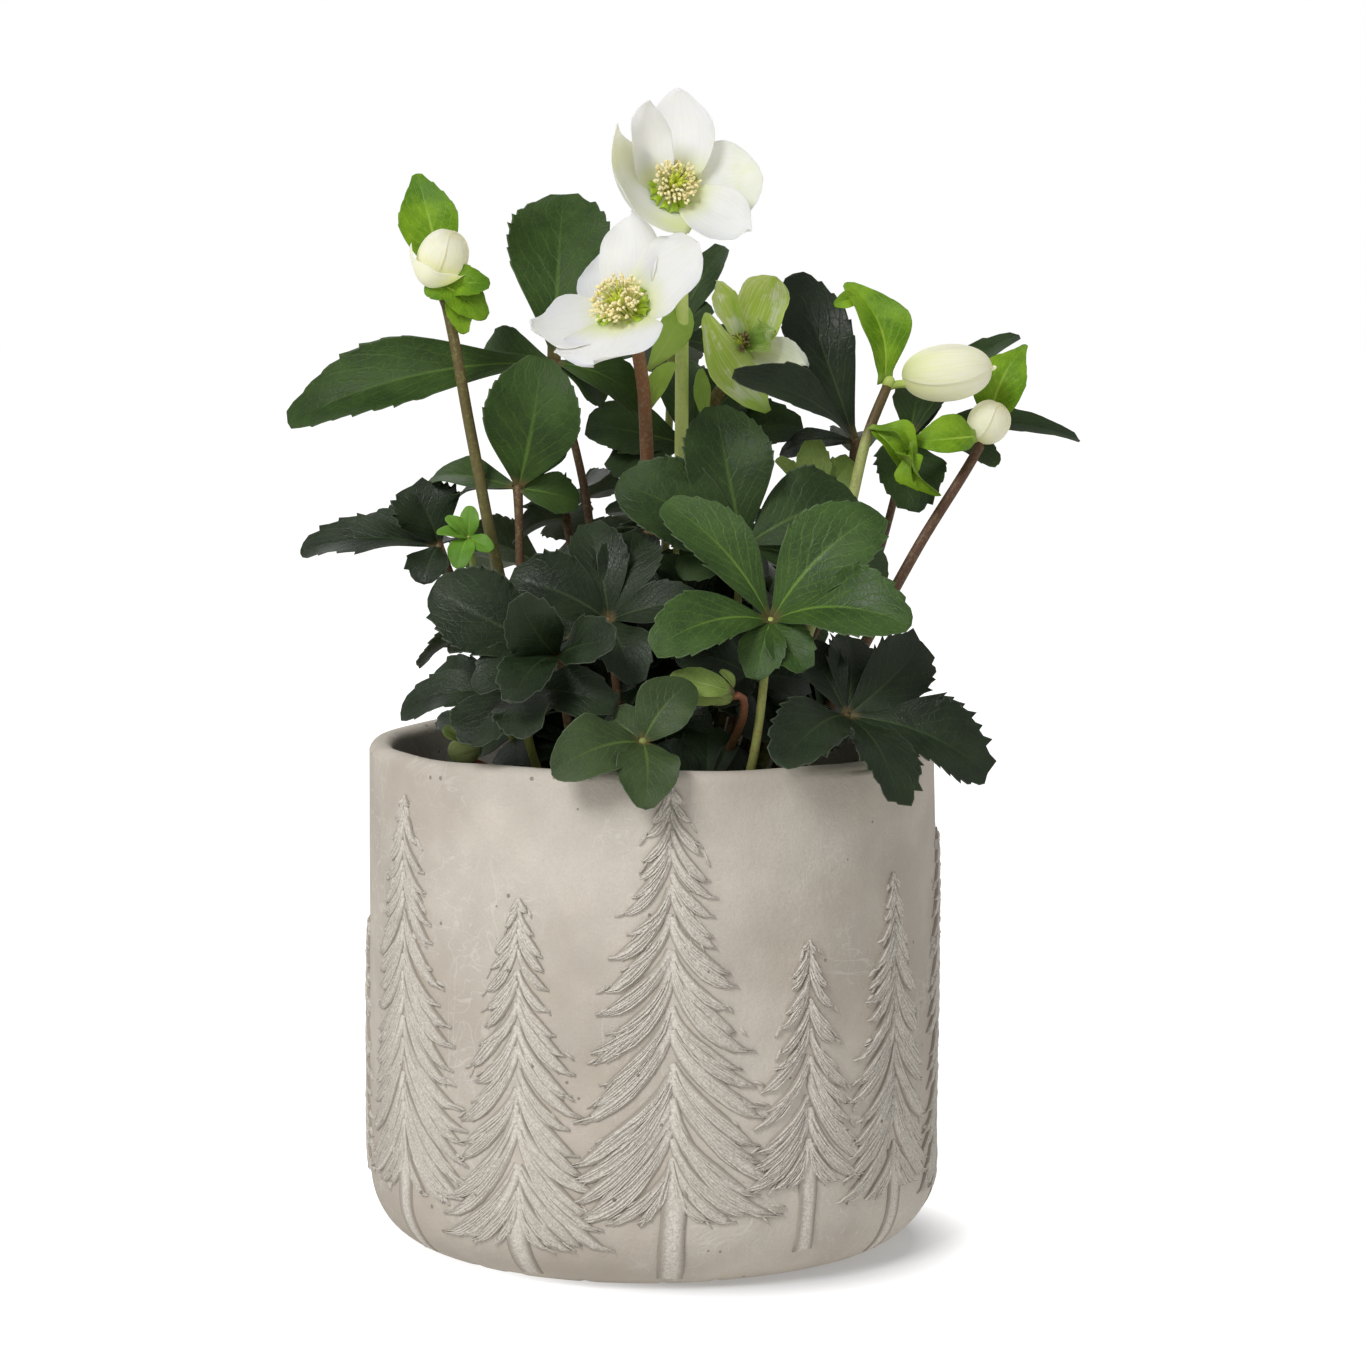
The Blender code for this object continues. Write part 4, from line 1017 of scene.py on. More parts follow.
# Stalk finishes: foot, top, specks, how strong the specks are
STALK_COLOURS = {
    "green_stalk": ((0.13, 0.09, 0.035), (0.24, 0.27, 0.07), (0.13, 0.09, 0.035), 0.35),
    "brown_stalk": ((0.085, 0.045, 0.028), (0.11, 0.06, 0.032), (0.21, 0.2, 0.08), 0.55),
    "pale_stalk": ((0.48, 0.5, 0.15), (0.46, 0.52, 0.15), (0.42, 0.22, 0.1), 0.45),
    "young_stalk": ((0.26, 0.3, 0.08), (0.33, 0.42, 0.11), (0.24, 0.18, 0.07), 0.25),
}
stalk_skins = {kind: stalk_skin(kind, *row) for kind, row in STALK_COLOURS.items()}


def make_leaf(name, node, look, joint, facing, foot, crook, leaflets, hand):
    """A whole leaf: its stalk, its leaflets, and the knot where they join."""
    skin, stalk_kind, blunt, teeth = look
    young = skin in ("young", "sprig")
    radius = STALK_RADIUS * (0.75 if young else 1)
    shares, swells = (0, 0.05, 0.9, 1), (1.25, 1.05, 0.8, 1)
    patches = [rooted_stalk(foot, (crook, joint), 30, shares, swells, radius, kind=2)]
    out = np.asarray(facing) / np.linalg.norm(facing)
    for row, (tip, width, roll) in enumerate(leaflets):
        start = np.asarray(joint) + out * 0.0002 * row
        lean = roll + hand.uniform(-9, 9)
        rounder = blunt * hand.uniform(0.94, 1.06)
        patches.append(leaflet(start, tip, facing, lean, width * LEAFLET_FULLER, rounder, teeth, hand))
    knot = STALK_RADIUS * (1.3 if young else 1.9)
    patches.append(ovoid(joint, facing, knot, knot * 1.1, sides=10, kind=2))
    skins = [leaf_skins[skin], young_underside if young else underside, stalk_skins[stalk_kind]]
    make_piece(name, patches, skins, node)


for number, (name, (look, joint, facing, foot, crook, *rows)) in enumerate(LEAVES.items()):
    leaflets = [(metres((x, y, z)), metres(width), roll[0] if roll else 0) for x, y, z, width, *roll in rows]
    hand = np.random.default_rng(100 + number)
    whole = name.replace("leaf", "grown_leaf")
    make_leaf(whole, name, look, metres(joint), facing, metres(foot), metres(crook), leaflets, hand)

# Short leaves crowded round the foot of the plant: direction from the middle in degrees, distance
# out and height of the joint, length of the leaflets, and the taller leaf that each belongs with
INNER_LEAVES = (
    (-95, 31, 160, 27, "left_inner"), (-60, 27, 187, 26, "middle"), (-38, 44, 158, 27, "front"),
    (-118, 40, 150, 25, "left_front"), (-150, 44, 154, 26, "left_low"), (-12, 50, 156, 27, "right_low"),
    (22, 46, 168, 28, "inner_right"), (58, 44, 160, 29, "back_side_right"), (92, 44, 158, 29, "back_low"),
    (128, 44, 162, 28, "back_side_left"), (165, 47, 158, 27, "left_side"), (-72, 52, 140, 21, "over_rim"),
    (30, 16, 204, 26, "inner_tall"), (170, 20, 196, 27, "left_mid"), (75, 30, 186, 28, "back_middle"),
    (-19, 36, 193, 29, "right_tall"), (-52, 46, 172, 24, "front"), (150, 30, 215, 24, "left_tall"),
    (-132, 14, 178, 25, "left_inner"), (-152, 26, 181, 24, "left_inner"), (-24, 40, 166, 25, "right_low"),
)
for number, (way, *sizes, near) in enumerate(INNER_LEAVES):
    reach, height, length = metres(tuple(sizes))
    hand = np.random.default_rng(160 + number)
    away = np.array([math.cos(math.radians(way)), math.sin(math.radians(way)), 0])
    lift = math.radians(90 * min(1, 0.28 + 0.008 / reach))
    facing = away * math.cos(lift) + np.array([0, 0, math.sin(lift)])
    upward = np.array([0, 0, 1]) - facing * facing[2]
    upward /= np.linalg.norm(upward)
    aside = np.cross(facing, upward)
    joint = away * reach + np.array([0, 0, height])
    leaflets = []
    for fan in (-118, -62, -8, 52, 112):
        turn = math.radians(fan + hand.uniform(-10, 10))
        long = length * (1 - 0.14 * abs(fan) / 100) * hand.uniform(0.9, 1.1)
        tip = joint + (upward * math.cos(turn) + aside * math.sin(turn)) * long
        tip = tip + facing * hand.uniform(-0.002, 0.004)
        leaflets.append((tip, long * hand.uniform(0.62, 0.78), hand.uniform(-14, 14)))
    foot = away[:2] * reach * 0.42
    crook = (joint[0] * 0.72, joint[1] * 0.72, SPROUT_Z + (height - SPROUT_Z) * 0.55)
    look = ("shaded", "brown_stalk" if number % 3 else "green_stalk", 1.35, 0.6)
    name = f"grown_inner_leaf_{number + 1}"
    make_leaf(name, f"leaf_{near}", look, joint, facing, foot, crook, leaflets, hand)

# ---------------------------------------------------------------------------------------------
# Flowers
# Each flower is a stem from the soil, five broad petal-like sepals, and a middle. The middle
# holds a ring of short green nectar cups, a brush of cream stamens and a few seed pods. Two flowers
# are fresh and white. The third is over: its sepals have turned green and its stamens are dry.

PETAL_THICKNESS = 0.00032
STEM_RADIUS = 0.0021
ACROSS_PETAL = (1, 0.95, 0.86, 0.74, 0.6, 0.45, 0.3, 0.15, 0)
PETAL_ROWS = 30
ANTHER_LENGTH, ANTHER_WIDTH = 0.0015, 0.00095
FILAMENT_RADIUS = 0.00017
NECTAR_CUP, NECTAR_CUPS = 0.005, 15
GOLDEN_ANGLE = 2.39996
MIDDLE_DEPTH = 0.62
PETAL_FOOT_DEPTH, PETAL_FOOT_OUT = 0.72, 0.45
# Sections of a nectar cup: place along it, radius, and place on its surface
NECTAR_RINGS = (
    (0, 0.00045, 0), (0.3, 0.0006, 0.3), (0.6, 0.00095, 0.6), (0.85, 0.0012, 0.85), (1, 0.0014, 1),
    (0.99, 0.00118, 0.9), (0.8, 0.0009, 0.6), (0.6, 0.0006, 0.4),
)

# Flowers: centre, the way it faces, the way its middle faces, radius of the stamens, their number,
# how they spread and reach, stem foot (x, y), points on the stem, small pale bracts that clasp it
# (base, tip, facing, width, droop), then the petals. Each petal: tip, width, cup depth, how far
# forward it lies, skin, how pointed it is, how far its rim is waved. A petal that wraps round the
# stamens has three more: its foot, the way its hollow faces, how far its back bows out
FLOWERS = {
    "flower_top": (
        (7, -14, 314.8), (-0.15, -0.86, 0.48), (0.26, -0.86, 0.42), 6.5, (120, 0.62, 0.34), (4, 2),
        ((8, 6, 190), (9, 6, 270)),
        (),
        ((7.6, -4, 343), 20.8, 4, -1.2, "white", 0.55, 0.7),
        ((-1.2, -20, 338.8), 12.8, 4, 0.6, "white", 0.8, 1.1, (1.2, -13.5, 312), (0.34, -0.9, 0.28), 0.6),
        ((-10.8, -28, 330.8), 24, 6, 0, "tinted", 0.75, 0.9, (11.5, -19.5, 301), (0.52, -0.56, 0.64), 6.2),
        ((29.5, -24, 299.5), 16, 3, 1.2, "white", 0.65, 1),
        ((32.5, -12, 317.5), 26, 4, -2, "tinted", 0.1, 0.6),
    ),
    "flower_lower": (
        (-9, -30, 280), (-0.4, -0.72, 0.57), (-0.4, -0.72, 0.57), 7.2, (150, 0.8, 0.62), (-3, -6),
        ((-1, -4, 190), (-2, -10, 250)),
        (((-1, -5, 260), (10.5, 10.5, 280), (0.3, -0.85, 0.2), 9.5, 0.1),
         ((-1, -6, 248), (5.5, -8, 262.5), (-0.3, -0.85, 0.3), 6, 0.15)),
        ((-35.4, -32, 272.5), 20, 4, -1.4, "white", 0.8, 1.2),
        ((-14.6, -49, 260.8), 32, 1.5, 3.6, "white", 0.15, 0.9),
        ((15, -34, 296.2), 25.6, 3, 1.6, "white", 0.35, 1),
        ((-6.2, -16, 307), 17.5, 3, -1.4, "white", 0.05, 1.1),
        ((-12.6, -11, 299), 25, 4, -3.6, "white", 0.15, 1),
    ),
    "flower_aged": (
        (27, 2, 268), (-0.5, -0.75, 0.4), (-0.5, -0.75, 0.4), 3, (26, 0.7, 0.4), (10, 4),
        ((14, 10, 200), (17, 14, 246)),
        (((16.5, 10.5, 244), (9.5, 4.5, 260), (0.5, -0.8, 0.3), 6, -0.25),),
        ((19.2, 6, 286.5), 6.8, 3, -0.4, "aged", 0.3, 1.4),
        ((36.2, 1, 288.2), 19.2, 3, -1.6, "aged", 0.25, 1.2),
        ((15.3, -6, 276.5), 18, 3, 0.9, "aged", 0.4, 1, (34.5, -8.5, 247.8), (0.62, -0.66, 0.42), 3.5),
        ((37.5, -5, 270.5), 9, 3, 2.1, "dark_aged", 0.6, 1.6),
        ((46, -6, 261), 10, 3, 0.3, "bleached", 0.45, 1.6),
    ),
}


def petal_skin(name, face, foot, edge, foot_reach, streaks, streak_colour, tint=0, faded=0, lit=0.028):
    """A thin satin petal: greener at its foot, with fine veins running out to the rim. The faint
    light of its own stands for the daylight that comes through it from behind."""
    made, tree, clouds, grain = new_finish(name, 85, 700)
    lengthwise, crosswise = surface_place(tree)
    off = sums("ABSOLUTE", sums("MULTIPLY_ADD", crosswise, 2, -1))
    fan = place(tree, "ShaderNodeCombineXYZ", {"X": times(lengthwise, 1.6), "Y": times(crosswise, 26)})
    vein = noise(tree, fan.outputs[0], 1, 3, Roughness=0.6)
    tone = blend(times(clouds, 0.5), face, edge)
    tone = blend(times(ramp(vein, 0.48, 0.62), streaks), tone, streak_colour)
    if tint:
        patch = times(ramp(lengthwise, 0.35, 0.85), ramp(clouds, 0.2, 0.9, 0.4, 1))
        tone = blend(times(patch, tint), tone, foot)
    if faded:
        patch = times(ramp(clouds, 0.35, 0.75), ramp(off, 0.35, 0.95, 1, 0))
        patch = times(patch, ramp(vein, 0.38, 0.6, 0.35, 1))
        tone = blend(times(patch, faded), tone, (0.8, 0.84, 0.66))
    near = ramp(sums("ADD", lengthwise, times(off, 0.1)), 0.04, foot_reach, 0.85, 0)
    tone = blend(near, tone, foot)
    shader = tree.nodes["Principled BSDF"].inputs
    shader["Subsurface Weight"].default_value = 0.7
    shader["Subsurface Radius"].default_value = (1, 0.9, 0.6)
    shader["Subsurface Scale"].default_value = 0.002
    shader["Emission Color"].default_value = (*face, 1)
    shader["Emission Strength"].default_value = lit
    height = sums("MULTIPLY_ADD", vein, 0.7, times(grain, 0.25))
    return dress(made, tone, ramp(clouds, 0, 1, 0.5, 0.62), height, 0.22, 0.0004, shine=0.3)


def grown_skin(name, low, high, roughness, along=True):
    """A small fleshy part that changes colour from its foot to its tip."""
    made, tree, clouds, grain = new_finish(name, 420, 1600)
    reach = ramp(surface_place(tree)[0], 0.1, 0.9) if along else clouds
    tone = blend(times(reach, ramp(clouds, 0, 1, 0.6, 1)), low, high)
    rough = ramp(grain, 0.3, 0.7, roughness - 0.08, roughness + 0.08)
    return dress(made, tone, rough, grain, 0.35, 0.0002)


# Petal finishes: face, foot, edge, how far up the foot's colour goes, streaks and their colour,
# and where there is any, the foot's tint in the outer half and how far the petal has faded
PETAL_COLOURS = {
    "white": ((0.855, 0.835, 0.78), (0.62, 0.7, 0.18), (0.82, 0.8, 0.73), 0.5, 0.2, (0.7, 0.7, 0.62)),
    "tinted": ((0.855, 0.85, 0.76), (0.66, 0.74, 0.26), (0.82, 0.82, 0.7), 0.42, 0.2, (0.7, 0.72, 0.56), 0.5),
    "aged": (
        (0.33, 0.5, 0.06), (0.2, 0.36, 0.025), (0.46, 0.62, 0.14), 0.4, 0.6, (0.58, 0.68, 0.34), 0, 0.85,
    ),
    "dark_aged": (
        (0.15, 0.27, 0.03), (0.1, 0.2, 0.015), (0.24, 0.38, 0.07), 0.4, 0.6, (0.34, 0.46, 0.14), 0, 0.25,
    ),
    "bleached": ((0.74, 0.76, 0.58), (0.34, 0.46, 0.1), (0.62, 0.68, 0.42), 0.55, 0.45, (0.5, 0.6, 0.26)),
}
petal_skins = {kind: petal_skin(f"{kind}_petal", *row) for kind, row in PETAL_COLOURS.items()}
FLOWER_STEMS = {
    "flower_top": (
        "pale_green_stem", (0.54, 0.68, 0.15), (0.86, 0.98, 0.33), (0.56, 0.68, 0.17), 0.25, (0.1, 0.55),
    ),
    "flower_lower": ("red_brown_stem", (0.16, 0.08, 0.04), (0.27, 0.125, 0.055), (0.33, 0.27, 0.15), 0.5),
    "flower_aged": ("brown_stem", (0.13, 0.095, 0.04), (0.15, 0.11, 0.04), (0.26, 0.27, 0.11), 0.5),
}
pale_bract = leaf_skin(
    "pale_bract", (0.34, 0.54, 0.07), (0.48, 0.68, 0.14), (0.62, 0.76, 0.25), 0.6,
    (0.4, 0.54, 0.15), 0.46, 0.22, foot=(0.4, 0.52, 0.14),
)
filament_skin = grown_skin("filament", (0.74, 0.74, 0.22), (0.9, 0.84, 0.46), 0.55)
anther_skin = grown_skin("anther", (0.88, 0.76, 0.36), (0.96, 0.9, 0.6), 0.7, along=False)
nectar_skin = grown_skin("nectar_cup", (0.48, 0.6, 0.05), (0.32, 0.5, 0.02), 0.4)
pod_skin = grown_skin("seed_pod", (0.5, 0.62, 0.06), (0.74, 0.78, 0.12), 0.45)
dry_skin = grown_skin("dry_stamen", (0.16, 0.11, 0.04), (0.34, 0.26, 0.12), 0.75)


def petal(base, tip, facing, width, cup, pointed, waved, hand, bow=0):
    """One petal: a broad oval on a narrow foot, hollowed like a shallow spoon, with a waved rim."""
    rows = np.linspace(0, 1, PETAL_ROWS) ** 0.92
    share = np.clip(np.sin(np.pi * (0.1 + 0.9 * rows) ** 1.15), 0, 1) ** 0.58
    if bow:
        share = share * np.clip(0.3 + rows / 0.22, 0, 1)
    share = share * (1 - pointed * 0.75 * np.clip((rows - 0.6) / 0.4, 0, 1) ** 1.6)
    push = np.stack([hand.uniform(-0.5, 0.5, len(rows)) for _ in range(2)], axis=1)
    for column in range(2):
        push[:, column] = np.convolve(push[:, column], np.ones(5) / 5, mode="same") * 0.0016 * waved * rows
    pitch, start = hand.uniform(1.3, 2.4, 2), hand.uniform(0, 6.3, 2)
    crease = hand.uniform(0.2, 0.6)

    def bend(along, side):
        lift = cup * (side * np.interp(along, rows, share)) ** 2 - (cup * 0.5 + bow) * 4 * along * (1 - along)
        lift = lift + ripples(along, side, [0.0011 * waved] * 2, pitch, start) * along
        lift = lift + 0.0009 * waved * np.sin(9 * along + start[0]) * side * along
        lift = lift + 0.0022 * pointed * along**6
        return lift - 0.0006 * crease * np.exp(-((side * 5) ** 2)) * along

    shape = (width, share, rows, push, bend, PETAL_THICKNESS)
    return blade((base, tip), facing, 0, *shape, across=ACROSS_PETAL, kinds=(0, 0))


def nectar_cup(foot, axis, outward, length, kind):
    """A short green trumpet that leans out between the stamens and the petals."""
    across = np.cross(axis, outward)
    turn = circle(9)
    lip = 1 + 0.18 * np.cos(2 * turn)
    rings = []
    for share, radius, _ in NECTAR_RINGS:
        lean = 0.35 + 0.9 * share
        way = axis * math.cos(lean) + outward * math.sin(lean)
        spot = foot + way * length * share + across * (radius * np.cos(turn) * lip)[:, None]
        rings.append(spot - np.cross(across, way) * (radius * np.sin(turn) * 0.8)[:, None])
    return loft(np.stack(rings), along=[mark for _, _, mark in NECTAR_RINGS], kinds=kind)


def flower_middle(heart, axis, radius, count, spread, reach, dry, hand):
    """Seed pods in the middle, stamens round them and nectar cups outside."""
    side, over, axis = upright(axis)
    floor = heart - axis * radius * MIDDLE_DEPTH
    patches = [ovoid(floor - axis * 0.0006, axis, radius * 0.55, radius * 1.25, rows=7, sides=16, kind=3)]

    def outward(way):
        return side * math.cos(way) + over * math.sin(way)

    pods, length = (5, radius * 1.5) if dry else (6, radius * 1.15)
    for pod in range(pods):
        out = outward(2 * math.pi * (pod + hand.uniform(-0.1, 0.1)) / pods)
        foot = floor + out * radius * 0.13
        body = foot + axis * length * 0.5 + out * radius * 0.06
        patches.append(ovoid(body, axis + out * 0.18, length, radius * 0.3, rows=8, fat=0.25, kind=3))
        tip = foot + axis * length * 0.95 + out * radius * 0.14
        beak = [tip, tip + (axis * 0.3 + out * 0.1) * radius, tip + (axis * 0.42 + out * 0.28) * radius]
        patches.append(stalk(smooth_path(beak, 6), np.linspace(0.00028, 0.00016, 6), sides=6, kind=3))
    for number in range(count):
        share = math.sqrt((number + 0.5) / count)
        out = outward(number * GOLDEN_ANGLE + hand.uniform(-0.25, 0.25))
        foot = floor + out * radius * (0.3 + 0.22 * share)
        ring = (0.34 + 0.66 * share) * hand.uniform(0.9, 1.12) * (1 + 0.35 * (spread - 0.55))
        head = heart + out * radius * ring
        head = head + axis * radius * (reach * (1.15 - 0.75 * share**2) + hand.uniform(-0.1, 0.16))
        crook = foot + (head - foot) * 0.5 + axis * radius * 0.16 - out * radius * 0.1
        patches.append(stalk(smooth_path([foot, crook, head], 7), FILAMENT_RADIUS, sides=5, ribs=0))
        lay = (head - crook) / np.linalg.norm(head - crook) + hand.uniform(-0.7, 0.7, 3)
        long, wide = ANTHER_LENGTH * hand.uniform(0.8, 1.15), ANTHER_WIDTH * hand.uniform(0.85, 1.1)
        patches.append(ovoid(head, lay, long, wide, sides=7, kind=1))
    for cup in range(0 if dry else NECTAR_CUPS):
        out = outward(2 * math.pi * (cup + hand.uniform(-0.2, 0.2)) / NECTAR_CUPS)
        foot = floor + out * radius * 0.52 - axis * 0.0004
        patches.append(nectar_cup(foot, axis, out, NECTAR_CUP * hand.uniform(0.85, 1.1), 2))
    return patches


for number, (name, row) in enumerate(FLOWERS.items()):
    heart, facing, middle_facing, radius, (count, spread, reach), foot, bends, bracts, *petals = row
    hand = np.random.default_rng(300 + number)
    aged = name == "flower_aged"
    heart, radius = np.array(metres(heart)), metres(radius)
    axis = np.asarray(facing, float) / np.linalg.norm(facing)
    end = heart - axis * (radius * 0.75 + 0.0012)
    points = (*metres(bends), end - axis * 0.002, end + axis * 0.0004)
    shares, swells = (0, 0.04, 0.5, 0.93, 1), (1.25, 1.05, 1, 0.92, 1.2)
    patches = [rooted_stalk(metres(foot), points, 44, shares, swells, STEM_RADIUS, sides=16)]
    for base, tip, bract_facing, width, droop in bracts:
        shape = (metres(base), metres(tip), bract_facing, 0, metres(width), 1.2, 0.2, hand)
        patches.append(leaflet(*shape, kinds=(1, 2), droop=droop))
    skins = [stalk_skin(*FLOWER_STEMS[name]), pale_bract, young_underside]
    make_piece(f"grown_{name}_stem", patches, skins, f"{name}_stem")
    lean = np.asarray(middle_facing) / np.linalg.norm(middle_facing)
    patches = flower_middle(heart, lean, radius, count, spread, reach, aged, hand)
    skins = [dry_skin] * 3 if aged else [filament_skin, anther_skin, nectar_skin]
    make_piece(f"grown_{name}_centre", patches, [*skins, pod_skin], f"{name}_centre")
    for order, (tip, width, cup, forward, skin, pointed, waved, *wrap) in enumerate(petals):
        tip, width, cup, forward = metres((tip, width, cup, forward))
        if wrap:
            wrap_foot, wrap_facing, bow = wrap
            made = petal(metres(wrap_foot), tip, wrap_facing, width, cup, pointed, waved, hand, metres(bow))
        else:
            outward = tip - heart
            outward = outward - axis * outward.dot(axis)
            outward /= np.linalg.norm(outward)
            base = heart - axis * radius * PETAL_FOOT_DEPTH + outward * radius * PETAL_FOOT_OUT
            base = base + axis * forward * 0.45
            made = petal(base, tip + axis * forward, facing, width * 1.04, cup, pointed, waved, hand)
        node = f"{name}_petal_{order + 1}"
        make_piece(f"grown_{node}", [made], [petal_skins[skin]], node)

# ---------------------------------------------------------------------------------------------
# Buds
# Closed or half-closed flowers on stems of their own. Each bud is a case of overlapping petals,
# with two bright green bracts that sit under it on the stem.

BUD_PETALS, BUD_PETAL_THICK = 5, 0.035
STALKLET_RADIUS = 0.00125
# Buds: centre, long axis, length, diameter, how far it has opened, stem foot (x, y), points on
# the stem, stem top, then the bracts. Each bract: how blunt, how toothed, how far it droops, curves
# sideways and folds, how sharp its tip is, then its lobes: base, tip, the way it faces, roll, width
BUDS = {
    "bud_left": (
        (-60.8, -20, 293), (0.45, -0.3, 0.85), 17.2, 14.6, 0.04, (-22, -14),
        ((-44.5, -22, 200), (-52.5, -25, 242)), (-60.2, -20.5, 281.2),
        ((1.15, 0.2, 0.06, -0.03, 0.05, 0.55),
         ((-61.8, -9.5, 287), (-69.2, -7, 317.8), (-0.1, -0.95, 0.2), 0, 16.8)),
        ((1, 0.5, 0.08, 0, 0.03, 0.2),
         ((-61.2, -22.2, 285), (-47.8, -25, 276.2), (0.1, -0.85, 0.5), 0, 10.5),
         ((-58.5, -22.6, 284.5), (-54.2, -25.6, 271.2), (0.1, -0.85, 0.5), 0, 6.8),
         ((-56.5, -23, 283.5), (-66, -24, 284.2), (0.1, -0.85, 0.5), 0, 7.8),
         ((-60, -21.8, 284.5), (-47.2, -24.6, 286.2), (0.1, -0.85, 0.5), 0, 9.5),
         ((-60.5, -23.4, 285), (-51.5, -25.4, 278.5), (0.1, -0.85, 0.5), 0, 10)),
    ),
    "bud_right": (
        (88, 2, 259), (1, 0, 0.1), 26.8, 17, 0, (22, -4), ((58, -4, 216), (64, -2, 240)), (70.5, 1, 256),
        ((1.12, 0.12, 0.2, -0.09, 0.26, 0.32),
         ((69.2, 1.5, 256), (59.6, 4, 286.6), (0.4, -0.88, 0.1), 0, 14.8),
         ((61.5, 4, 281), (54.5, 2, 279.5), (0.2, -0.9, 0.3), 0, 4.5)),
        ((1.2, 0.4, 0.4, 0.1, 0.45, 0.6),
         ((64.5, -4.5, 243), (80, -10, 233), (0.35, -0.6, 0.72), 0, 8),
         ((77, -8, 239), (82, -12, 222.5), (-0.55, -0.8, 0.1), 25, 8.5),
         ((72.5, -9, 236), (78.5, -12.5, 228.5), (0.2, -0.6, 0.7), -20, 6),
         ((65, -4, 243), (77.5, -8, 232), (0.1, -0.6, 0.8), 15, 7.5)),
    ),
    "bud_far_right": (
        (101, 8, 244), (0.5, -0.3, 0.7), 13.2, 12.5, 0.09, (26, 1), ((60, -4, 172), (80, 0, 208)),
        (98, 7, 236.5),
        ((0.86, 0.12, 0.1, 0.05, 0.12, 0.8),
         ((101.8, 15.5, 244), (112.2, 16, 267.5), (-0.2, -0.9, 0.2), 0, 15.8)),
        ((0.9, 0.1, 0.12, 0.1, 0.22, 0.6),
         ((96.8, 3, 240.2), (77.8, -2, 240.2), (0, -0.8, 0.5), 0, 12.5)),
    ),
}
# The one petal that has let go of the left bud and lies under it like a boat: foot, tip, facing,
# width, cup depth, how pointed, how waved, how far its back bows out
LOOSE_PETAL = ((-54, -22, 288.2), (-70.4, -24, 295.8), (0.42, 0.2, 0.87), 14, 4, 0.75, 0.5, 5.8)

BUD_STEMS = {
    "bud_left": ("olive_stem", (0.15, 0.15, 0.045), (0.11, 0.085, 0.03), (0.24, 0.23, 0.08), 0.5),
    "bud_right": (
        "two_tone_stem", (0.42, 0.46, 0.16), (0.105, 0.07, 0.026), (0.15, 0.13, 0.05), 0.4, (0.86, 0.92),
    ),
    "bud_far_right": ("dark_brown_stem", (0.105, 0.062, 0.032), (0.12, 0.06, 0.036), (0.26, 0.2, 0.09), 0.45),
}
bud_stalklet = stalk_skin("bud_stalklet", (0.33, 0.42, 0.08), (0.48, 0.58, 0.16), (0.3, 0.38, 0.08), 0.2)
bud_skin = petal_skin(
    "bud_petal", (0.97, 0.93, 0.7), (0.66, 0.74, 0.16), (0.84, 0.86, 0.44), 0.58, 0.45,
    (0.76, 0.8, 0.36), lit=0.09,
)
bract_skin = leaf_skin(
    "bract", (0.062, 0.165, 0.002), (0.215, 0.38, 0.014), (0.4, 0.56, 0.075), 0.9,
    (0.15, 0.26, 0.02), 0.42, 0.2, foot=(0.24, 0.36, 0.06),
)
bract_underside = leaf_skin(
    "bract_underside", (0.17, 0.3, 0.025), (0.25, 0.38, 0.05), (0.36, 0.48, 0.12), 0.7,
    (0.2, 0.3, 0.05), 0.46, foot=(0.24, 0.36, 0.06),
)


def bud_petal(centre, axis, length, diameter, way, spread, proud, opening):
    """One petal wrapped round a bud, from its foot to its tip, with one margin over its neighbour."""
    side, over, axis = upright(axis)
    rows, steps = np.linspace(0, 1, 22), both_sides(ACROSS_PETAL)
    along, across = rows[:, None], steps[None, :]
    tilt = 0.06 + along * (np.pi - 0.1)
    share = np.clip(np.sin(np.pi * (0.16 + 0.82 * along) ** 1.05), 0, 1) ** 0.45
    around = way + across * spread * share
    shell = 1 + proud + 0.018 * across + opening * along**3
    level = -np.cos(tilt) * length / 2 * (1 + proud * 0.6)
    faces = []
    for inside in (0, BUD_PETAL_THICK):
        reach = np.sin(tilt) ** 0.88 * (shell - inside) * diameter / 2 + opening * along**4 * diameter * 0.2
        spot = np.asarray(centre) + level[..., None] * axis + (reach * np.cos(around))[..., None] * side
        faces.append(spot + (reach * np.sin(around))[..., None] * over)
    rings = np.concatenate([faces[0][:, ::-1], faces[1]], axis=1)
    marks = np.concatenate([(steps[::-1] + 1) / 2, (steps + 1) / 2, [(steps[-1] + 1) / 2]])
    return loft(rings[:, ::-1], rows, marks[::-1])


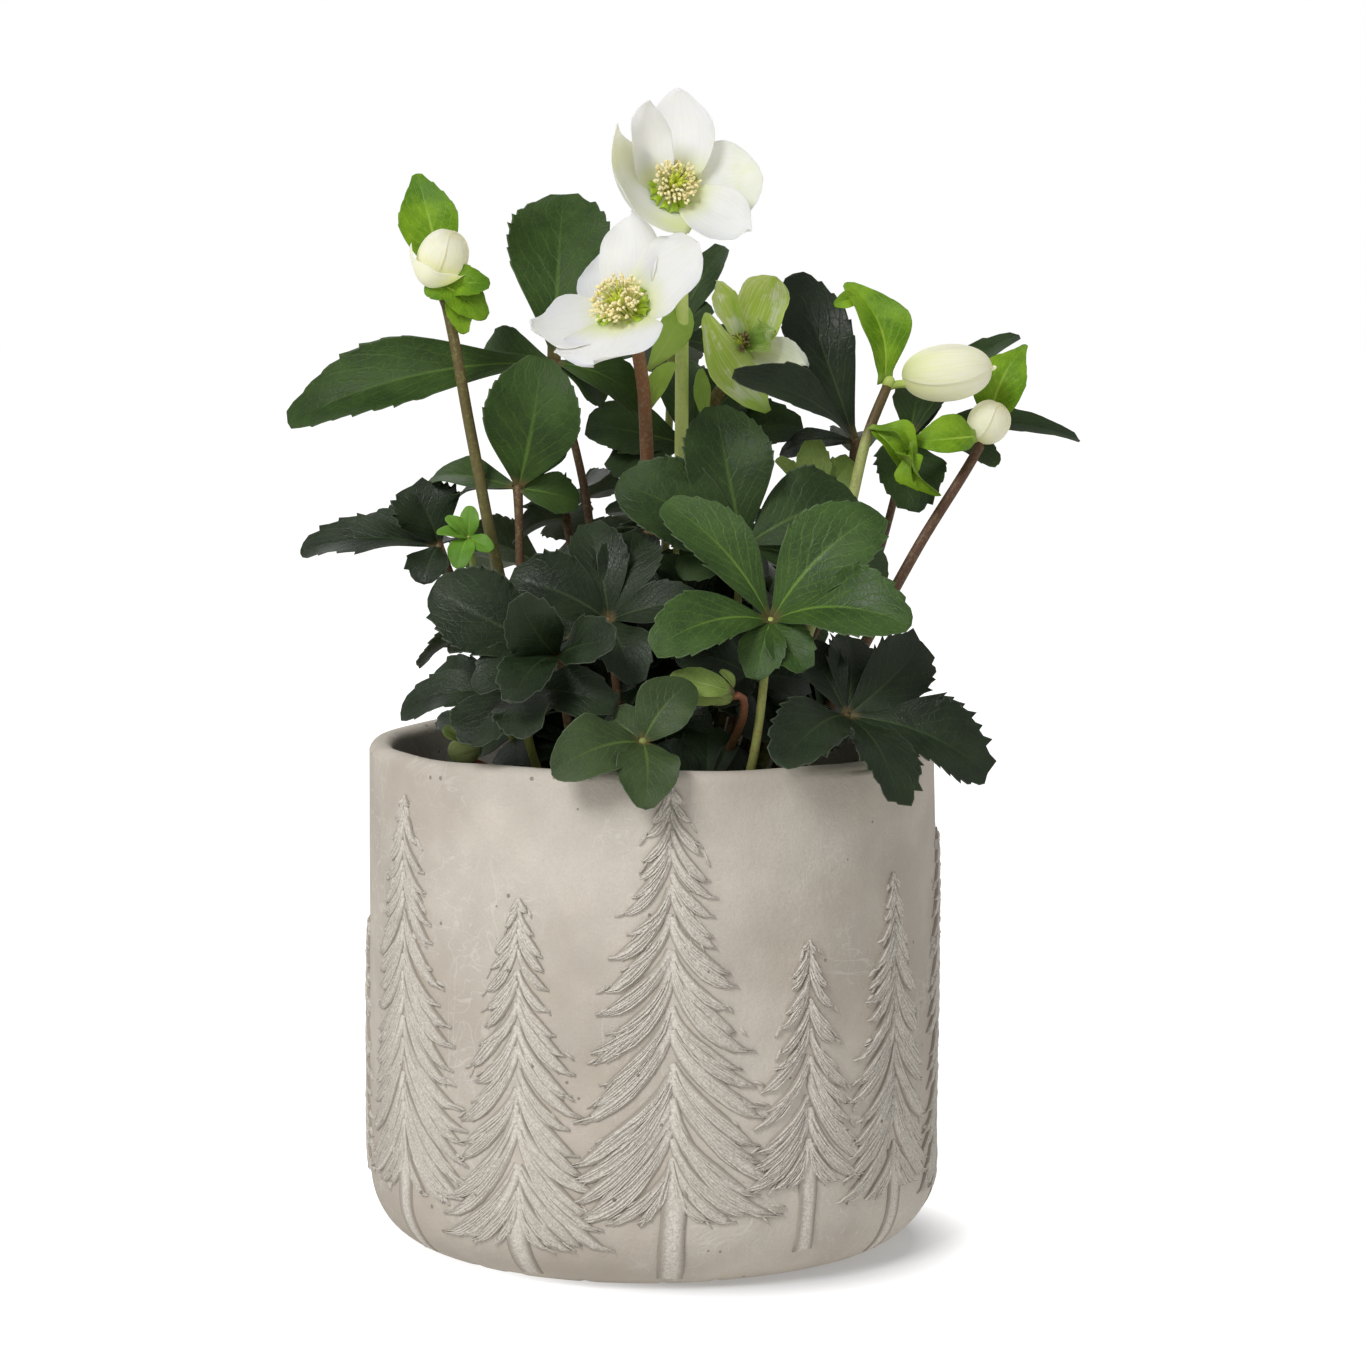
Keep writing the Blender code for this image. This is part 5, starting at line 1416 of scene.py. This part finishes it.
for number, (name, row) in enumerate(BUDS.items()):
    centre, axis, length, diameter, opening, foot, bends, top, *bracts = row
    centre, length, diameter, foot, bends, top = metres((centre, length, diameter, foot, bends, top))
    hand = np.random.default_rng(400 + number)
    run = np.asarray(axis) / np.linalg.norm(axis) * length
    neck = np.asarray(centre) - run * 0.46
    nodding = name == "bud_right"
    points = (*bends, top) if nodding else (*bends, top, neck)
    shares, swells = (0, 0.05, 0.9, 1), (1.25, 1, 0.84, 0.78)
    patches = [rooted_stalk(foot, points, 40, shares, swells, STEM_RADIUS * 0.9, sides=14)]
    if nodding:
        neck = neck + (0.0006, 0, -0.002)
        crook = (np.asarray(top) + neck) / 2 - (0, 0, 0.0002)
        stalklet = smooth_path([np.asarray(top) - (0, 0, 0.001), crook, neck], 12)
        patches.append(stalk(stalklet, STALKLET_RADIUS, kind=1))
        patches.append(ovoid(top, (0.5, 0, 0.9), 0.0046, 0.0036, rows=8, sides=12, kind=1))
    skins = [stalk_skin(*BUD_STEMS[name]), bud_stalklet]
    make_piece(f"grown_{name}_stem", patches, skins, f"{name}_stem")
    case = [ovoid(centre, axis, length * 0.94, diameter * 0.93, rows=14, sides=24)]
    for leaf in range(BUD_PETALS):
        way = 2 * math.pi * (leaf + hand.uniform(-0.08, 0.08)) / BUD_PETALS * 2
        spread, opened = 1.15 + hand.uniform(-0.1, 0.1), opening * (leaf > 2)
        case.append(bud_petal(centre, axis, length, diameter, way, spread, 0.013 * leaf - 0.03, opened))
    if nodding:
        case.append(ovoid(centre + run * 0.5, (0.8, -0.2, 0.3), 0.003, 0.0016, rows=8, sides=10))
    if name == "bud_left":
        base, tip, facing, width, cup, pointed, waved, bow = LOOSE_PETAL
        base, tip, width, cup, bow = metres((base, tip, width, cup, bow))
        case.append(petal(base, tip, facing, width, cup, pointed, waved, hand, bow))
    make_piece(f"grown_{name}", case, [bud_skin], name)
    for row, ((blunt, teeth, droop, bow, fold, pointed), *lobes) in enumerate(bracts):
        shape = {"droop": droop, "fold": fold, "pointed": pointed}
        patches = []
        for lobe, (base, tip, facing, roll, width) in enumerate(lobes):
            main = {} if lobe else {"bow": bow, "foot": 0.3}
            base, tip, width = metres((base, tip, width))
            patches.append(leaflet(base, tip, facing, roll, width, blunt, teeth, hand, **shape, **main))
        node = f"{name}_bract_{row + 1}"
        make_piece(f"grown_{node}", patches, [bract_skin, bract_underside], node)

# ---------------------------------------------------------------------------------------------
# Low buds
# Two buds still down among the leaf stalks, each on a short stem of its own, with small scales
# at their feet. They are green because no light has reached them yet.

FOOT_SCALES, FOOT_SCALE_WIDTH = 3, 0.008
# Low buds: centre, long axis, length, diameter, stem foot (x, y), points on the stem, then the
# leafy scales that still wrap it: foot, tip, the way it faces, width
LOW_BUDS = {
    "low_bud_left": (
        (-54, -40, 151), (0.8, -0.1, 0.2), 10, 8, (-26, -18), ((-36, -26, 128), (-45, -34, 143)),
        ((-53.5, -42, 154.5), (-60, -42.5, 157.5), (-0.1, -0.8, 0.6), 5),
        ((-54, -42.5, 154.5), (-56, -43, 162), (-0.3, -0.9, 0.1), 4.5),
    ),
    "low_bud_middle": (
        (15.5, -60, 170.8), (-1, -0.15, 0.35), 17, 7.8, (10, -25),
        ((20.5, -40, 146), (26.5, -53, 162), (26.2, -57.5, 168.5)),
        ((23.5, -61, 170.5), (6, -66, 175.5), (0.1, -0.9, 0.45), 7.4),
        ((24, -60, 170), (8, -64.5, 169), (0.1, -0.9, -0.2), 5.2),
        ((24, -60, 171.5), (20, -62.5, 176.5), (0.1, -0.8, 0.6), 2),
    ),
}

low_skin = petal_skin(
    "low_bud_petal", (0.5, 0.66, 0.14), (0.3, 0.45, 0.06), (0.48, 0.54, 0.22), 0.4, 0.4,
    (0.24, 0.36, 0.06), lit=0,
)
# The rosy stalk darkens towards its foot: painted shade where it runs down among the leaves
rosy_stalk = stalk_skin(
    "rosy_stalk", (0.04, 0.045, 0.014), (0.26, 0.095, 0.05), (0.19, 0.19, 0.06), 0.45, change=(0.45, 0.95)
)
scale_skin = leaf_skin(
    "bud_scale", (0.1, 0.06, 0.03), (0.2, 0.14, 0.06), (0.26, 0.2, 0.09), 0.4, (0.16, 0.11, 0.06), 0.5
)

for number, (name, row) in enumerate(LOW_BUDS.items()):
    centre, axis, length, diameter, foot, bends, *scales = row
    centre, length, diameter, foot, bends = metres((centre, length, diameter, foot, bends))
    hand = np.random.default_rng(500 + number)
    neck = np.asarray(centre) - np.asarray(axis) / np.linalg.norm(axis) * length * 0.42
    patches = [
        rooted_stalk(foot, (*bends, neck), 28, (0, 0.1, 1), (1.3, 1, 0.75), STALK_RADIUS, kind=1),
        ovoid(centre, axis, length * 0.94, diameter * 0.92, rows=12, sides=20),
    ]
    for leaf in range(BUD_PETALS):
        patches.append(bud_petal(centre, axis, length, diameter, 2.51 * leaf, 1, 0.012 * leaf - 0.02, 0.03))
    for base, tip, facing, width in scales:
        shape = (metres(base), metres(tip), facing, 0, metres(width), 1.05, 0.3, hand)
        patches.append(leaflet(*shape, kinds=(3, 4)))
    for _ in range(FOOT_SCALES):
        way = hand.uniform(0, 6.28)
        away = np.array([math.cos(way), math.sin(way)])
        base = np.array([*(foot + away * 0.002), SPROUT_Z])
        tip = base + np.array([*(away * 0.006), 0.018 + 0.008 * hand.random()])
        patches.append(leaflet(base, tip, (*away, 0.3), 0, FOOT_SCALE_WIDTH, 1.1, 0.1, hand, kinds=(2, 2)))
    skins = [low_skin, rosy_stalk, scale_skin, leaf_skins["young"], young_underside]
    make_piece(f"grown_{name}", patches, skins, name)
